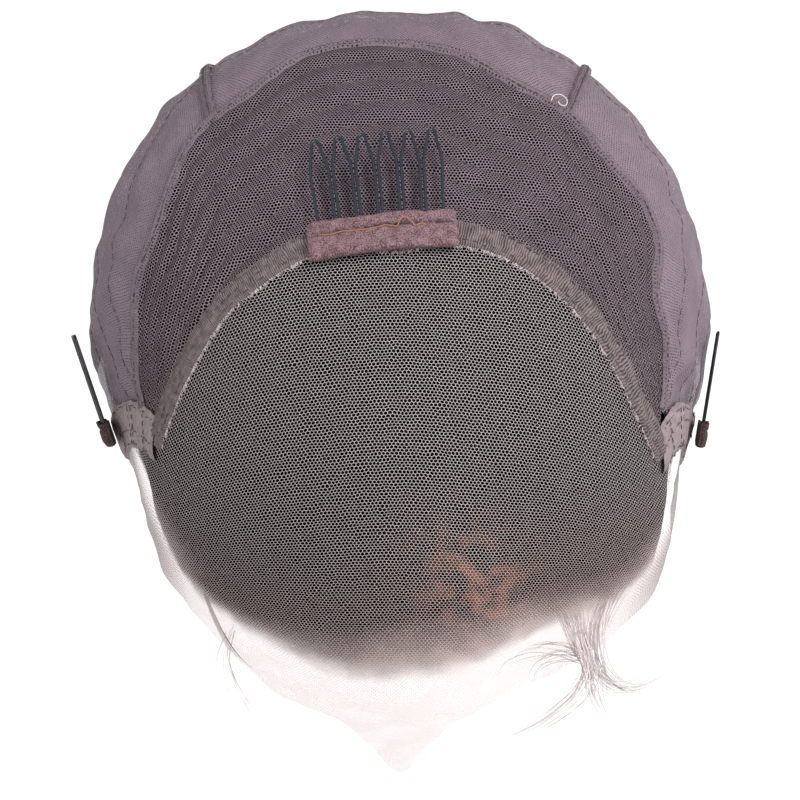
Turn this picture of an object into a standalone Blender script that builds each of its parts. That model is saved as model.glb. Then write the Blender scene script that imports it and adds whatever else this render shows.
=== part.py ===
"""Lace front wig, turned inside out: the cap's stitched inside faces out and the hair lies within.

Lengths are in millimetres until a mesh is made, and +Z is up. The forehead edge faces -Y.
"Left" and "right" are those of someone looking at the forehead edge, so right is +X.
The origin is the inside of the crown's top, where the cap rests on what carries it.

The cap follows one head form. A place on it is a pair of angles in degrees, (side, back):
how far to go from the crown's top towards the right and towards the nape.
"""

import math
from collections import namedtuple

import bmesh
import bpy
import numpy as np
from mathutils import Vector

MM = 0.001

# Head form
HALF_WIDTH = 82.0
CROWN_HEIGHT = 90.0
LOWER_HEIGHT = 115.0
CROWN_FULLNESS = 2.3
TUCK_FROM = 60.0
TUCK_TO = 120.0

# Cloth and hair, as depths below the head form
NET_THICK = 1.2
LACE_THICK = 1.0
CROWN_DEPTH = 0.5
RUFFLE_DEPTH = 1.0
HAIR_DEPTH = 3.0
HAIR_THICK = 1.8
PIECE_GAP = 0.3
JOINT_GAP = 0.9
SEAT = CROWN_HEIGHT - HAIR_DEPTH - HAIR_THICK

# Stitched rows of the crown and ruffles of the outer panels
WEFT_ROWS = 8
WEFT_HIGH = 0.9
RUFFLE_HIGH = 2.4
RUFFLE_SLANT = 1.3

# Strips sewn over the joints
TAPE_WIDE_LEFT = 5.6
TAPE_WIDE_RIGHT = 6.4
TAPE_THICK = 1.0
SEAM_WIDE = 3.4
SEAM_THICK = 1.3
TAB_WIDE = 10.0
TAB_THICK = 0.9

# Wire combs
COMB_TEETH = 6
TOOTH_PITCH = 5.6
FOOT_PITCH = 5.0
WIRE_RADIUS = 0.35
COMB_REACH = 27.0
FELT_THICK = 0.7
FELT_LONG = 35.0
FELT_WIDE = 8.4
TOP_COMB_PLACE = (-4.1, -20.5)
TOP_COMB_TURN = 5.0
TOP_COMB_LIFT = 0.05
SIDE_COMB_AT = (73.0, 89.5)
SIDE_COMB_RISE = 2.85
SIDE_FELT_LONG = 32.0
SIDE_FELT_WIDE = 6.0

# Hair that hangs below the rim
HAIR_LONG = 85.0
HAIR_FALL_THICK = 3.0
HAIR_LOCKS = 13
LOCK_HIGH = 2.2
HAIR_START = 96.0
HAIR_FULL = 130.0
HAIR_OVERLAP = 14.0
HAIR_FALL_DEPTH = 6.3
HAIR_DRAWN_IN = 0.10

# Outline of the head form from above: reach as a share of HALF_WIDTH
Plan = namedtuple("Plan", "azimuth reach")
PLAN = [
    Plan(-180.0, 1.05),
    Plan(-157.5, 1.07),
    Plan(-135.0, 1.07),
    Plan(-112.5, 1.04),
    Plan(-90.0, 1.00),
    Plan(-67.5, 0.935),
    Plan(-45.0, 1.04),
    Plan(-22.5, 1.15),
    Plan(0.0, 1.305),
    Plan(22.5, 1.16),
    Plan(45.0, 1.125),
    Plan(67.5, 0.97),
    Plan(90.0, 1.00),
    Plan(112.5, 1.025),
    Plan(135.0, 1.05),
    Plan(157.5, 1.07),
    Plan(180.0, 1.05),
]

# Lower edge of the cap, as the angle down from the crown's top
Rim = namedtuple("Rim", "azimuth down")
RIM = [
    Rim(-180.0, 118.0),
    Rim(-150.0, 115.0),
    Rim(-120.0, 106.0),
    Rim(-90.0, 98.0),
    Rim(-74.0, 97.0),
    Rim(-45.0, 96.0),
    Rim(-28.0, 97.0),
    Rim(-19.0, 98.0),
    Rim(-8.0, 92.5),
    Rim(-4.0, 97.0),
    Rim(0.0, 105.0),
    Rim(4.0, 97.0),
    Rim(8.0, 92.5),
    Rim(18.0, 94.0),
    Rim(26.0, 98.0),
    Rim(42.0, 95.5),
    Rim(60.0, 98.0),
    Rim(74.0, 98.0),
    Rim(90.0, 98.0),
    Rim(120.0, 106.0),
    Rim(150.0, 115.0),
    Rim(180.0, 118.0),
]

# Front edge of the hair that lies inside, as the angle down from the crown's top
Hairline = namedtuple("Hairline", "azimuth down")
HAIRLINE = [
    Hairline(-66.0, 92.0),
    Hairline(-57.0, 93.0),
    Hairline(-45.0, 92.0),
    Hairline(-35.0, 89.0),
    Hairline(-24.0, 85.0),
    Hairline(-14.0, 78.0),
    Hairline(-6.0, 73.0),
    Hairline(0.0, 70.0),
    Hairline(7.0, 71.0),
    Hairline(14.0, 74.0),
    Hairline(25.0, 78.0),
    Hairline(37.0, 83.0),
    Hairline(45.0, 86.0),
    Hairline(57.0, 92.0),
    Hairline(66.0, 93.0),
]

# Middle of the tape over the joint of lace and crown, from left to right
Seam = namedtuple("Seam", "share side back")
TAPE = [
    Seam(0.00, -50.0, -40.2),
    Seam(0.08, -44.0, -34.6),
    Seam(0.18, -37.8, -28.2),
    Seam(0.28, -31.2, -22.0),
    Seam(0.36, -24.0, -18.0),
    Seam(0.45, -14.7, -13.8),
    Seam(0.52, -6.0, -12.0),
    Seam(0.58, 1.5, -10.9),
    Seam(0.64, 8.3, -11.2),
    Seam(0.71, 16.5, -13.4),
    Seam(0.79, 26.0, -18.4),
    Seam(0.87, 33.6, -25.0),
    Seam(0.94, 40.6, -33.0),
    Seam(1.00, 48.3, -40.2),
]

# Seam round the back of the crown, from left to right
CROWN_SEAM = [
    Seam(0.00, -57.0, -34.5),
    Seam(0.06, -60.3, -27.0),
    Seam(0.12, -57.6, -18.0),
    Seam(0.18, -53.0, -9.5),
    Seam(0.24, -45.0, -2.4),
    Seam(0.29, -40.6, 5.0),
    Seam(0.34, -36.6, 12.4),
    Seam(0.38, -32.0, 16.0),
    Seam(0.43, -24.8, 19.2),
    Seam(0.49, -15.0, 26.6),
    Seam(0.55, -1.7, 28.4),
    Seam(0.61, 9.7, 25.2),
    Seam(0.66, 18.1, 20.1),
    Seam(0.72, 28.6, 15.9),
    Seam(0.77, 36.0, 9.0),
    Seam(0.82, 44.6, 3.0),
    Seam(0.87, 48.9, -4.0),
    Seam(0.91, 50.2, -13.0),
    Seam(0.95, 55.2, -21.0),
    Seam(0.98, 54.2, -28.0),
    Seam(1.00, 50.8, -33.5),
]
BACK_SEAM_LEFT_AT = 0.38
BACK_SEAM_RIGHT_AT = 0.72

# Seams from the crown down to the nape, and the middles of the ear tabs
BACK_SEAM_LEFT = [
    Seam(0.00, -32.0, 16.0),
    Seam(0.30, -37.5, 41.6),
    Seam(0.68, -46.0, 76.0),
    Seam(1.00, -52.0, 102.9),
]
BACK_SEAM_RIGHT = [
    Seam(0.00, 28.6, 15.9),
    Seam(0.30, 36.7, 42.3),
    Seam(0.68, 46.0, 76.0),
    Seam(1.00, 52.0, 102.9),
]
EAR_TAB_LEFT = [
    Seam(0.00, -50.0, -40.2),
    Seam(0.30, -60.0, -36.0),
    Seam(0.65, -74.5, -31.2),
    Seam(1.00, -90.5, -25.8),
]
EAR_TAB_RIGHT = [
    Seam(0.00, 48.3, -40.2),
    Seam(0.30, 58.0, -35.6),
    Seam(0.65, 74.5, -30.6),
    Seam(1.00, 91.5, -25.8),
]

# Each side comb: how far its teeth point out, and how far its foot leans in
SideComb = namedtuple("SideComb", "side sign out lean")
SIDE_COMBS = [
    SideComb("left", -1, 0.32, 0.14),
    SideComb("right", 1, 0.15, 0.11),
]

# One wire tooth from the felt to its tip: how far along the tooth, and half its spread
Tooth = namedtuple("Tooth", "reach spread")
TOOTH = [
    Tooth(0.00, 1.95),
    Tooth(0.45, 2.1),
    Tooth(0.70, 2.25),
    Tooth(0.87, 1.15),
    Tooth(0.965, 0.95),
]

# Folded felt of a comb pocket: across as a share of FELT_WIDE, height as a share of FOLD_HIGH
Fold = namedtuple("Fold", "across height")
FOLD = [
    Fold(0.50, 0.0),
    Fold(0.00, 0.0),
    Fold(-0.42, 0.0),
    Fold(-0.50, 0.5),
    Fold(-0.42, 1.0),
    Fold(0.08, 1.0),
    Fold(0.50, 1.0),
]
FOLD_HIGH = 2 * WIRE_RADIUS + 2 * PIECE_GAP + FELT_THICK + 0.1

Finish = namedtuple("Finish", "name colour roughness metallic")
CROWN_NET = Finish("crown_net", (0.190, 0.148, 0.167), 0.85, 0.0)
SIDE_NET = Finish("side_net", (0.215, 0.170, 0.192), 0.85, 0.0)
PALE_LACE = Finish("pale_lace", (0.440, 0.350, 0.350), 0.80, 0.0)
TAPE_CLOTH = Finish("tape_cloth", (0.190, 0.160, 0.140), 0.90, 0.0)
TAB_CLOTH = Finish("tab_cloth", (0.200, 0.168, 0.150), 0.90, 0.0)
SEAM_CORD = Finish("seam_cord", (0.140, 0.110, 0.120), 0.90, 0.0)
PINK_FELT = Finish("pink_felt", (0.270, 0.170, 0.185), 0.95, 0.0)
BROWN_FELT = Finish("brown_felt", (0.110, 0.075, 0.070), 0.95, 0.0)
GREY_WIRE = Finish("grey_wire", (0.045, 0.055, 0.080), 0.35, 0.8)
BLACK_WIRE = Finish("black_wire", (0.012, 0.012, 0.015), 0.40, 0.6)
DARK_HAIR = Finish("dark_hair", (0.010, 0.008, 0.007), 0.50, 0.0)


def between(rows, at, column, turning=False):
    """Value of the named column at a place along the rows' first column, by a smooth curve."""
    keys = [row[0] for row in rows]
    values = [getattr(row, column) for row in rows]
    last = len(rows) - 1
    place = min(max(at, keys[0]), keys[-1])
    n = min(max(int(np.searchsorted(keys, place, side="right")) - 1, 0), last - 1)

    def slope(k):
        if 0 < k < last:
            return (values[k + 1] - values[k - 1]) / (keys[k + 1] - keys[k - 1])
        if turning:
            run = keys[1] - keys[0] + keys[-1] - keys[-2]
            return (values[1] - values[0] + values[-1] - values[-2]) / run
        m = min(k, last - 1)
        return (values[m + 1] - values[m]) / (keys[m + 1] - keys[m])

    run = keys[n + 1] - keys[n]
    t = (place - keys[n]) / run
    return (
        (2 * t**3 - 3 * t**2 + 1) * values[n]
        + (t**3 - 2 * t**2 + t) * run * slope(n)
        + (3 * t**2 - 2 * t**3) * values[n + 1]
        + (t**3 - t**2) * run * slope(n + 1)
    )


def ease(value, low, high):
    """0 below low, 1 above high, and a smooth rise between them."""
    t = min(max((value - low) / (high - low), 0.0), 1.0)
    return t * t * (3 - 2 * t)


def polar(azimuth, down):
    """(side, back) of a place given by its azimuth from the front and its angle down."""
    turn = math.radians(azimuth)
    return np.array([down * math.sin(turn), -down * math.cos(turn)])


def along(rows, share):
    """(side, back) at a share of the way along a seam."""
    return np.array([between(rows, share, "side"), between(rows, share, "back")])


def on_form(place):
    """Point of the head form at (side, back)."""
    side, back = place
    azimuth = math.degrees(math.atan2(side, -back))
    down = math.radians(math.hypot(side, back))
    reach = HALF_WIDTH * between(PLAN, azimuth, "reach", turning=True)
    sine = math.sin(down)
    cosine = math.cos(down)
    if cosine > 0:
        full = (sine**CROWN_FULLNESS + cosine**CROWN_FULLNESS) ** (-1 / CROWN_FULLNESS)
        out = reach * sine * full
        up = CROWN_HEIGHT * cosine * full
    else:
        out = reach * (1 - ease(abs(azimuth), TUCK_FROM, TUCK_TO) * (1 - sine))
        up = LOWER_HEIGHT * cosine
    turn = math.radians(azimuth)
    return np.array([out * math.sin(turn), -out * math.cos(turn), up])


def steps_on_form(place, step=0.2):
    """How the head form's point moves per degree of side and of back."""
    side, back = place
    by_side = on_form((side + step, back)) - on_form((side - step, back))
    by_back = on_form((side, back + step)) - on_form((side, back - step))
    return by_side / (2 * step), by_back / (2 * step)


def outward(place):
    """Unit vector out of the head form at (side, back)."""
    by_side, by_back = steps_on_form(place)
    normal = np.cross(by_side, by_back)
    return normal / np.linalg.norm(normal)


def raised(place, height):
    """Point at a height above the head form."""
    return on_form(place) + height * outward(place)


def beside(place, direction, distance):
    """(side, back) reached by going a distance along the form in a 3-D direction."""
    steps = np.array(steps_on_form(place)).T
    move, *_ = np.linalg.lstsq(steps, np.asarray(direction) * distance, rcond=None)
    return np.asarray(place) + move


def blend(first, second, share):
    return (1 - share) * np.asarray(first) + share * np.asarray(second)


def patch(front, rear, left, right):
    """(side, back) over a panel with four curved edges; the panel's shares run 0 to 1."""

    def place(s, w):
        edges = blend(front(s), rear(s), w) + blend(left(w), right(w), s)
        corners = blend(blend(front(0), front(1), s), blend(rear(0), rear(1), s), w)
        return edges - corners

    return place


def inset(place, size_s, size_w):
    """The same panel kept in from its edges under the seams, given its rough size both ways."""

    def inner(s, w):
        edge_s = JOINT_GAP / size_s
        edge_w = JOINT_GAP / size_w
        return place(edge_s + s * (1 - 2 * edge_s), edge_w + w * (1 - 2 * edge_w))

    return inner


def material_of(finish):
    made = bpy.data.materials.new(finish.name)
    made.use_nodes = True
    shader = made.node_tree.nodes["Principled BSDF"]
    shader.inputs["Base Color"].default_value = (*finish.colour, 1.0)
    shader.inputs["Roughness"].default_value = finish.roughness
    shader.inputs["Metallic"].default_value = finish.metallic
    made.diffuse_color = (*finish.colour, 1.0)
    return made


def placed(name, data, finish, collection):
    """The finished object in the wig's collection."""
    piece = bpy.data.objects.new(name, data)
    piece.data.materials.append(material_of(finish))
    collection.objects.link(piece)
    return piece


def sheet(name, point_at, columns, rows, thick, finish, collection):
    """A sheet of cloth or hair: a grid laid over point_at(s, w), made thick towards the head."""
    bm = bmesh.new()
    bmesh.ops.create_grid(bm, x_segments=columns, y_segments=rows, size=0.5)
    for vertex in bm.verts:
        x, y, z = point_at(vertex.co.x + 0.5, vertex.co.y + 0.5)
        vertex.co = Vector((x, y, z - SEAT)) * MM
    bm.normal_update()
    middle = Vector((0.0, 0.0, -SEAT)) * MM
    if sum(f.normal.dot(f.calc_center_median() - middle) for f in bm.faces) < 0:
        bmesh.ops.reverse_faces(bm, faces=bm.faces)
    data = bpy.data.meshes.new(name)
    bm.to_mesh(data)
    bm.free()
    data.shade_smooth()
    piece = placed(name, data, finish, collection)
    shell = piece.modifiers.new("thickness", "SOLIDIFY")
    shell.thickness = thick * MM
    shell.offset = -1
    shell.use_even_offset = True
    return piece


def strip(name, rows, wide_at, height, thick, columns, finish, collection, ends=(0.0, 1.0)):
    """A narrow cloth strip along a seam, its underside at a height above the head form."""

    def point_at(s, w):
        share = ends[0] + s * (ends[1] - ends[0])
        place = along(rows, share)
        ahead = on_form(along(rows, min(share + 0.01, 1.0)))
        behind = on_form(along(rows, max(share - 0.01, 0.0)))
        across = np.cross(outward(place), ahead - behind)
        across /= np.linalg.norm(across)
        return raised(beside(place, across, (w - 0.5) * wide_at(share)), height + thick)

    return sheet(name, point_at, columns, 2, thick, finish, collection)


def wire_comb(name, point_at, finish, collection):
    """A comb bent from one wire; point_at(a, b) places a point of its flat pattern."""
    path = []
    for tooth in range(COMB_TEETH):
        order = tooth - (COMB_TEETH - 1) / 2
        if tooth:
            path.append(((order - 0.5) * FOOT_PITCH, -0.9))
        near = [
            (order * blend(FOOT_PITCH, TOOTH_PITCH, row.reach), row.spread, row.reach * COMB_REACH)
            for row in TOOTH
        ]
        path += [(middle - spread, reach) for middle, spread, reach in near]
        path.append((order * TOOTH_PITCH, COMB_REACH))
        path += [(middle + spread, reach) for middle, spread, reach in reversed(near)]
    data = bpy.data.curves.new(name, "CURVE")
    data.dimensions = "3D"
    data.bevel_depth = WIRE_RADIUS * MM
    data.bevel_resolution = 1
    data.use_fill_caps = True
    spline = data.splines.new("POLY")
    spline.points.add(len(path) - 1)
    for knot, (a, b) in zip(spline.points, path):
        x, y, z = point_at(a, b)
        knot.co = (x * MM, y * MM, (z - SEAT) * MM, 1.0)
    return placed(name, data, finish, collection)


def comb_pocket(name, point_at, wide, long, finish, collection):
    """Felt folded round the foot of a comb; point_at(a, b, height) places it."""

    def fold_at(s, w):
        step = w * (len(FOLD) - 1)
        n = min(int(step), len(FOLD) - 2)
        across = blend(FOLD[n].across, FOLD[n + 1].across, step - n)
        height = blend(FOLD[n].height, FOLD[n + 1].height, step - n)
        return point_at((s - 0.5) * long, across * wide, (height - 0.5) * FOLD_HIGH)

    piece = sheet(name, fold_at, 6, len(FOLD) - 1, FELT_THICK, finish, collection)
    piece.modifiers["thickness"].offset = 0
    return piece


def top_comb_point(a, b, height=0.0):
    """Point of the top comb's pattern: a along its foot, b towards the nape."""
    turn = math.radians(TOP_COMB_TURN)
    x = TOP_COMB_PLACE[0] + a * math.cos(turn) - b * math.sin(turn)
    y = TOP_COMB_PLACE[1] + a * math.sin(turn) + b * math.cos(turn)
    azimuth = math.degrees(math.atan2(x, -y))
    reach = HALF_WIDTH * between(PLAN, azimuth, "reach", turning=True)
    fall = (math.hypot(x, y) / reach) ** CROWN_FULLNESS
    rest = PIECE_GAP * 3 + TAPE_THICK + FELT_THICK / 2 + FOLD_HIGH / 2
    up = CROWN_HEIGHT * (1 - fall) ** (1 / CROWN_FULLNESS)
    return np.array([x, y, up + rest + height + max(b, 0) * TOP_COMB_LIFT])


def side_comb_point(comb):
    """Placer of points in the pattern of the comb over one ear tab."""
    azimuth, down = SIDE_COMB_AT
    foot = raised(polar(comb.sign * azimuth, down), SIDE_COMB_RISE + FOLD_HIGH / 2)
    tooth = np.array([comb.sign * comb.out, 0.81, 0.50])
    tooth /= np.linalg.norm(tooth)
    line = np.array([-comb.sign * comb.lean, -0.50, 0.86])
    line /= np.linalg.norm(line)
    out = np.cross(line, tooth)
    out *= comb.sign * np.sign(out[0])

    def point_at(a, b, height=0.0):
        return foot + a * line + b * tooth + height * out

    return point_at


def crown_panel(collection):
    edge = patch(
        lambda s: along(TAPE, s),
        lambda s: along(CROWN_SEAM, s),
        lambda w: blend(along(TAPE, 0), along(CROWN_SEAM, 0), w),
        lambda w: blend(along(TAPE, 1), along(CROWN_SEAM, 1), w),
    )
    place = inset(edge, 80.0, 55.0)

    def point_at(s, w):
        row = 0.5 - 0.5 * math.cos(2 * math.pi * WEFT_ROWS * w)
        fade = ease(s, 0.02, 0.22) * ease(1 - s, 0.02, 0.22)
        return raised(place(s, w), WEFT_HIGH * row * fade - CROWN_DEPTH)

    return sheet("crown_panel", point_at, 26, 2 * WEFT_ROWS, NET_THICK, CROWN_NET, collection)


def ruffled(name, edge, sizes, ruffles, columns, collection):
    """An outer panel gathered into slanting ruffles that die out at its seams."""
    place = inset(edge, *sizes)

    def point_at(s, w):
        wave = 0.5 - 0.5 * math.cos(2 * math.pi * (ruffles * s + RUFFLE_SLANT * w))
        fade = ease(w, 0.0, 0.25) * ease(s, 0.0, 0.12) * ease(1 - s, 0.0, 0.12)
        return raised(place(s, w), RUFFLE_HIGH * wave * fade - RUFFLE_DEPTH)

    return sheet(name, point_at, columns, 8, NET_THICK, SIDE_NET, collection)


def rim_between(first, last):
    """The cap's lower edge from one azimuth to another."""

    def place(s):
        azimuth = first + s * (last - first)
        wrapped = (azimuth + 180.0) % 360.0 - 180.0
        return polar(azimuth, between(RIM, wrapped, "down", turning=True))

    return place


def front_edge(corner, tab):
    """Front edge of a side panel: from the crown seam's end it runs in under the ear tab."""
    start = 0.12

    def place(w):
        middle = along(tab, start + w * (1 - start))
        return middle + (corner - along(tab, start)) * (1 - w) ** 3

    return place


def outer_panels(collection):
    left_seam, right_seam = BACK_SEAM_LEFT_AT, BACK_SEAM_RIGHT_AT
    left = patch(
        lambda s: along(CROWN_SEAM, s * left_seam),
        rim_between(-74.1, -153.2),
        front_edge(along(CROWN_SEAM, 0), EAR_TAB_LEFT),
        lambda w: along(BACK_SEAM_LEFT, w),
    )
    ruffled("side_panel_left", left, (120.0, 90.0), 6, 22, collection)
    back = patch(
        lambda s: along(CROWN_SEAM, left_seam + s * (right_seam - left_seam)),
        rim_between(-153.2, -206.8),
        lambda w: along(BACK_SEAM_LEFT, w),
        lambda w: along(BACK_SEAM_RIGHT, w),
    )
    ruffled("back_panel", back, (80.0, 130.0), 5, 20, collection)
    right = patch(
        lambda s: along(CROWN_SEAM, 1 - s * (1 - right_seam)),
        rim_between(74.1, 153.2),
        front_edge(along(CROWN_SEAM, 1), EAR_TAB_RIGHT),
        lambda w: along(BACK_SEAM_RIGHT, w),
    )
    ruffled("side_panel_right", right, (120.0, 90.0), 6, 22, collection)


def lace_front(collection):
    """Lace from under the tape and the ear tabs down to the forehead edge."""
    columns = 26
    tab_share = 5 / columns

    def top(s):
        if s < tab_share:
            return along(EAR_TAB_LEFT, 0.97 * (1 - s / tab_share))
        if s > 1 - tab_share:
            return along(EAR_TAB_RIGHT, 0.97 * (1 - (1 - s) / tab_share))
        return along(TAPE, (s - tab_share) / (1 - 2 * tab_share))

    def place(s, w):
        edge = JOINT_GAP / 110
        bottom = rim_between(-72.5, 72.5)(s)
        return blend(top(s), bottom, edge + w * (1 - edge))

    return sheet(
        "lace_front",
        lambda s, w: raised(place(s, w), 0.0),
        columns,
        10,
        LACE_THICK,
        PALE_LACE,
        collection,
    )


def strips(collection):
    def tape_wide(share):
        return TAPE_WIDE_LEFT + share * (TAPE_WIDE_RIGHT - TAPE_WIDE_LEFT)

    strip(
        "lace_tape", TAPE, tape_wide, PIECE_GAP + 0.2, TAPE_THICK, 30, TAPE_CLOTH, collection,
    )
    strip(
        "crown_seam", CROWN_SEAM, lambda s: SEAM_WIDE, PIECE_GAP, SEAM_THICK, 40, SEAM_CORD,
        collection, (0.05, 0.96),
    )
    for side, rows in (("left", BACK_SEAM_LEFT), ("right", BACK_SEAM_RIGHT)):
        strip(
            f"back_seam_{side}", rows, lambda s: SEAM_WIDE, PIECE_GAP, SEAM_THICK, 10, SEAM_CORD,
            collection, (0.04, 1.0),
        )
    for side, rows in (("left", EAR_TAB_LEFT), ("right", EAR_TAB_RIGHT)):
        strip(
            f"ear_tab_{side}", rows, lambda s: TAB_WIDE, PIECE_GAP, TAB_THICK, 8, TAB_CLOTH,
            collection, (0.10, 1.0),
        )


def hair_base(collection):
    """Hair that lies flat under the net and the lace, from the hairline to the rim."""

    def place(s, w):
        azimuth = HAIRLINE[0].azimuth * (1 - 2 * s)
        front = polar(azimuth, between(HAIRLINE, azimuth, "down"))
        rear = rim_between(-84.0, -276.0)(s)
        rear *= 1 - 2.0 / np.linalg.norm(rear)
        return blend(front, rear, w)

    return sheet(
        "hair_base",
        lambda s, w: raised(place(s, w), -HAIR_DEPTH),
        24,
        12,
        HAIR_THICK,
        DARK_HAIR,
        collection,
    )


def hair_fall(collection):
    """Locks fused to one backing that hang from inside the rim, round the back of the head."""

    def point_at(s, w):
        azimuth = -HAIR_START - s * (360.0 - 2 * HAIR_START)
        wrapped = (azimuth + 180.0) % 360.0 - 180.0
        rim = between(RIM, wrapped, "down", turning=True)
        long = HAIR_LONG * (0.35 + 0.65 * ease(abs(wrapped), HAIR_START, HAIR_FULL))
        lock = abs(math.sin(math.pi * HAIR_LOCKS * s))
        if w < 0.25:
            return raised(polar(azimuth, rim - HAIR_OVERLAP * (1 - 4 * w)), -HAIR_FALL_DEPTH)
        fall = (w - 0.25) / 0.75
        point = raised(polar(azimuth, rim), -HAIR_FALL_DEPTH)
        swell = LOCK_HIGH * lock * ease(fall, 0.0, 0.4)
        inward = 1 - HAIR_DRAWN_IN * fall + swell / HALF_WIDTH
        down = fall * long * (1 - 0.12 * (1 - lock))
        return np.array([point[0] * inward, point[1] * inward, point[2] - down])

    return sheet("hair_fall", point_at, 2 * HAIR_LOCKS, 8, HAIR_FALL_THICK, DARK_HAIR, collection)


def combs(collection):
    wire_comb("top_comb", top_comb_point, GREY_WIRE, collection)
    comb_pocket(
        "top_comb_pocket", top_comb_point, FELT_WIDE, FELT_LONG, PINK_FELT, collection
    )
    for comb in SIDE_COMBS:
        point_at = side_comb_point(comb)
        wire_comb(f"side_comb_{comb.side}", point_at, BLACK_WIRE, collection)
        comb_pocket(
            f"side_comb_pocket_{comb.side}", point_at, SIDE_FELT_WIDE, SIDE_FELT_LONG,
            BROWN_FELT, collection,
        )


def main():
    for item in list(bpy.data.objects):
        bpy.data.objects.remove(item, do_unlink=True)
    wig = bpy.data.collections.new("lace_front_wig")
    bpy.context.scene.collection.children.link(wig)
    crown_panel(wig)
    outer_panels(wig)
    lace_front(wig)
    strips(wig)
    combs(wig)
    hair_base(wig)
    hair_fall(wig)


main()
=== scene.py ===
"""Dressed look of a lace front wig that is shown inside out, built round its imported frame.

Lengths are millimetres of the head form, whose widest line is at height 0, until a mesh is
made: there they become metres of the frame, whose origin is the inside of the crown's top.
A place on the form is (side, back): degrees from the crown's top towards the viewer's right
and towards the nape. The forehead edge faces -Y.
"""

import logging
import math
from collections.abc import Callable, Sequence
from dataclasses import dataclass
from enum import Enum

import bmesh
import bpy
import numpy as np
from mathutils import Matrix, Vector


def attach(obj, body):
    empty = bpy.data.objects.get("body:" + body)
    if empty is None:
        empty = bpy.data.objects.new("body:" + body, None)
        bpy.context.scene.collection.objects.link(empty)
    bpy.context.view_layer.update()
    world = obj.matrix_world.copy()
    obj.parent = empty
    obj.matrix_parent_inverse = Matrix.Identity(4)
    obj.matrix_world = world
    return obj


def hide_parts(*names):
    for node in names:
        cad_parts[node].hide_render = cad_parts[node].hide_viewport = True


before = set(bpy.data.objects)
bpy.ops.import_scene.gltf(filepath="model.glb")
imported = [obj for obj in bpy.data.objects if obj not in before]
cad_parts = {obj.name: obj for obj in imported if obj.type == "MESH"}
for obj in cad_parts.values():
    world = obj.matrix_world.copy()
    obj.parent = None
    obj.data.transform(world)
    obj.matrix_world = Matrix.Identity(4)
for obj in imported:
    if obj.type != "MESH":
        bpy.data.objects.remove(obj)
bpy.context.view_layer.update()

LOG = logging.getLogger("lace_front_wig")
MM = 0.001
SEAT = 85.2
JOINED = 1e-7
STITCH_SIDES = 5

Array = np.ndarray
Colour = tuple[float, float, float]
Rows = tuple[tuple[float, ...], ...]
Edge = Callable[[Array], Array]
Surface = Callable[[Array, Array], Array]
Placer = Callable[[Array, Array, Array], Array]
Run = tuple[Array, Array, Array]


def ease(value: Array, low: float, high: float) -> Array:
    """Smooth rise from 0 at low to 1 at high.

    Args:
        value: What is eased.
        low: Where the rise starts.
        high: Where the rise ends.

    Returns:
        The eased share, in value's shape.
    """
    t = np.clip((np.asarray(value, float) - low) / (high - low), 0.0, 1.0)
    return t * t * (3 - 2 * t)


def unit(vectors: Array) -> Array:
    """Vectors scaled to a length of 1.

    Args:
        vectors: Any number of 3-D vectors, in the last axis.

    Returns:
        Unit vectors in the same shape.
    """
    return vectors / np.maximum(np.linalg.norm(vectors, axis=-1, keepdims=True), 1e-9)


def mixed(first: Array, second: Array, share: Array) -> Array:
    """Blend of two sets of points, by a share for each."""
    part = np.asarray(share, float)[..., None]
    return (1 - part) * first + part * second


def travelled(line: Array, axis: int = 0) -> Array:
    """Distance travelled along rows of points.

    Args:
        line: Points, with their coordinates in the last axis.
        axis: The axis that is travelled along.

    Returns:
        The running distance, 0 at the start of each row.
    """
    steps = np.linalg.norm(np.diff(line, axis=axis), axis=-1)
    start = np.zeros_like(np.take(steps, [0], axis=axis))
    return np.concatenate([start, np.cumsum(steps, axis=axis)], axis=axis)


def along(line: Array, far: Array, at: Array) -> Array:
    """Points of a line at distances along it.

    Args:
        line: Points by coordinates.
        far: Distance travelled at each of the points.
        at: Distances, in any shape.

    Returns:
        A point for each distance.
    """
    return np.stack([np.interp(at, far, column) for column in line.T], axis=-1)


def faded(share: Array, low: float, high: float) -> Array:
    """Smooth rise from 0 at low to 1 at high, with the same fall at the other end."""
    return ease(share, low, high) * ease(1 - share, low, high)


@dataclass(frozen=True)
class Profile:
    """Smooth curve through a short table of (place, value) rows."""

    rows: Rows
    turning: bool = False

    def __call__(self, at: Array) -> Array:
        """Values of the curve.

        Args:
            at: Places along the table; those past its ends take its end values.

        Returns:
            One value for each place.
        """
        keys, values = np.array(self.rows, float).T
        slopes = np.empty_like(values)
        slopes[1:-1] = (values[2:] - values[:-2]) / (keys[2:] - keys[:-2])
        rises, runs = np.diff(values), np.diff(keys)
        slopes[0] = rises[0] / runs[0]
        slopes[-1] = rises[-1] / runs[-1]
        if self.turning:
            slopes[[0, -1]] = (rises[0] + rises[-1]) / (runs[0] + runs[-1])
        place = np.clip(at, keys[0], keys[-1])
        n = np.clip(np.searchsorted(keys, place, side="right") - 1, 0, len(keys) - 2)
        run = runs[n]
        t = (place - keys[n]) / run
        return (
            (2 * t**3 - 3 * t**2 + 1) * values[n]
            + (t**3 - 2 * t**2 + t) * run * slopes[n]
            + (3 * t**2 - 2 * t**3) * values[n + 1]
            + (t**3 - t**2) * run * slopes[n + 1]
        )


def curves(rows: Rows, keys: Array) -> list[Profile]:
    """A smooth curve through each column of a table whose rows stand at the keys."""
    return [Profile(tuple(zip(keys, column))) for column in zip(*rows)]


@dataclass(frozen=True)
class SeamLine:
    """Line over the head form through a table of (share, side, back) rows."""

    rows: Rows

    def __call__(self, share: Array) -> Array:
        """Places (side, back) at shares of the way along the line."""
        shares, *places = zip(*self.rows)
        return np.stack([Profile(tuple(zip(shares, column)))(share) for column in places], axis=-1)


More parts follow.
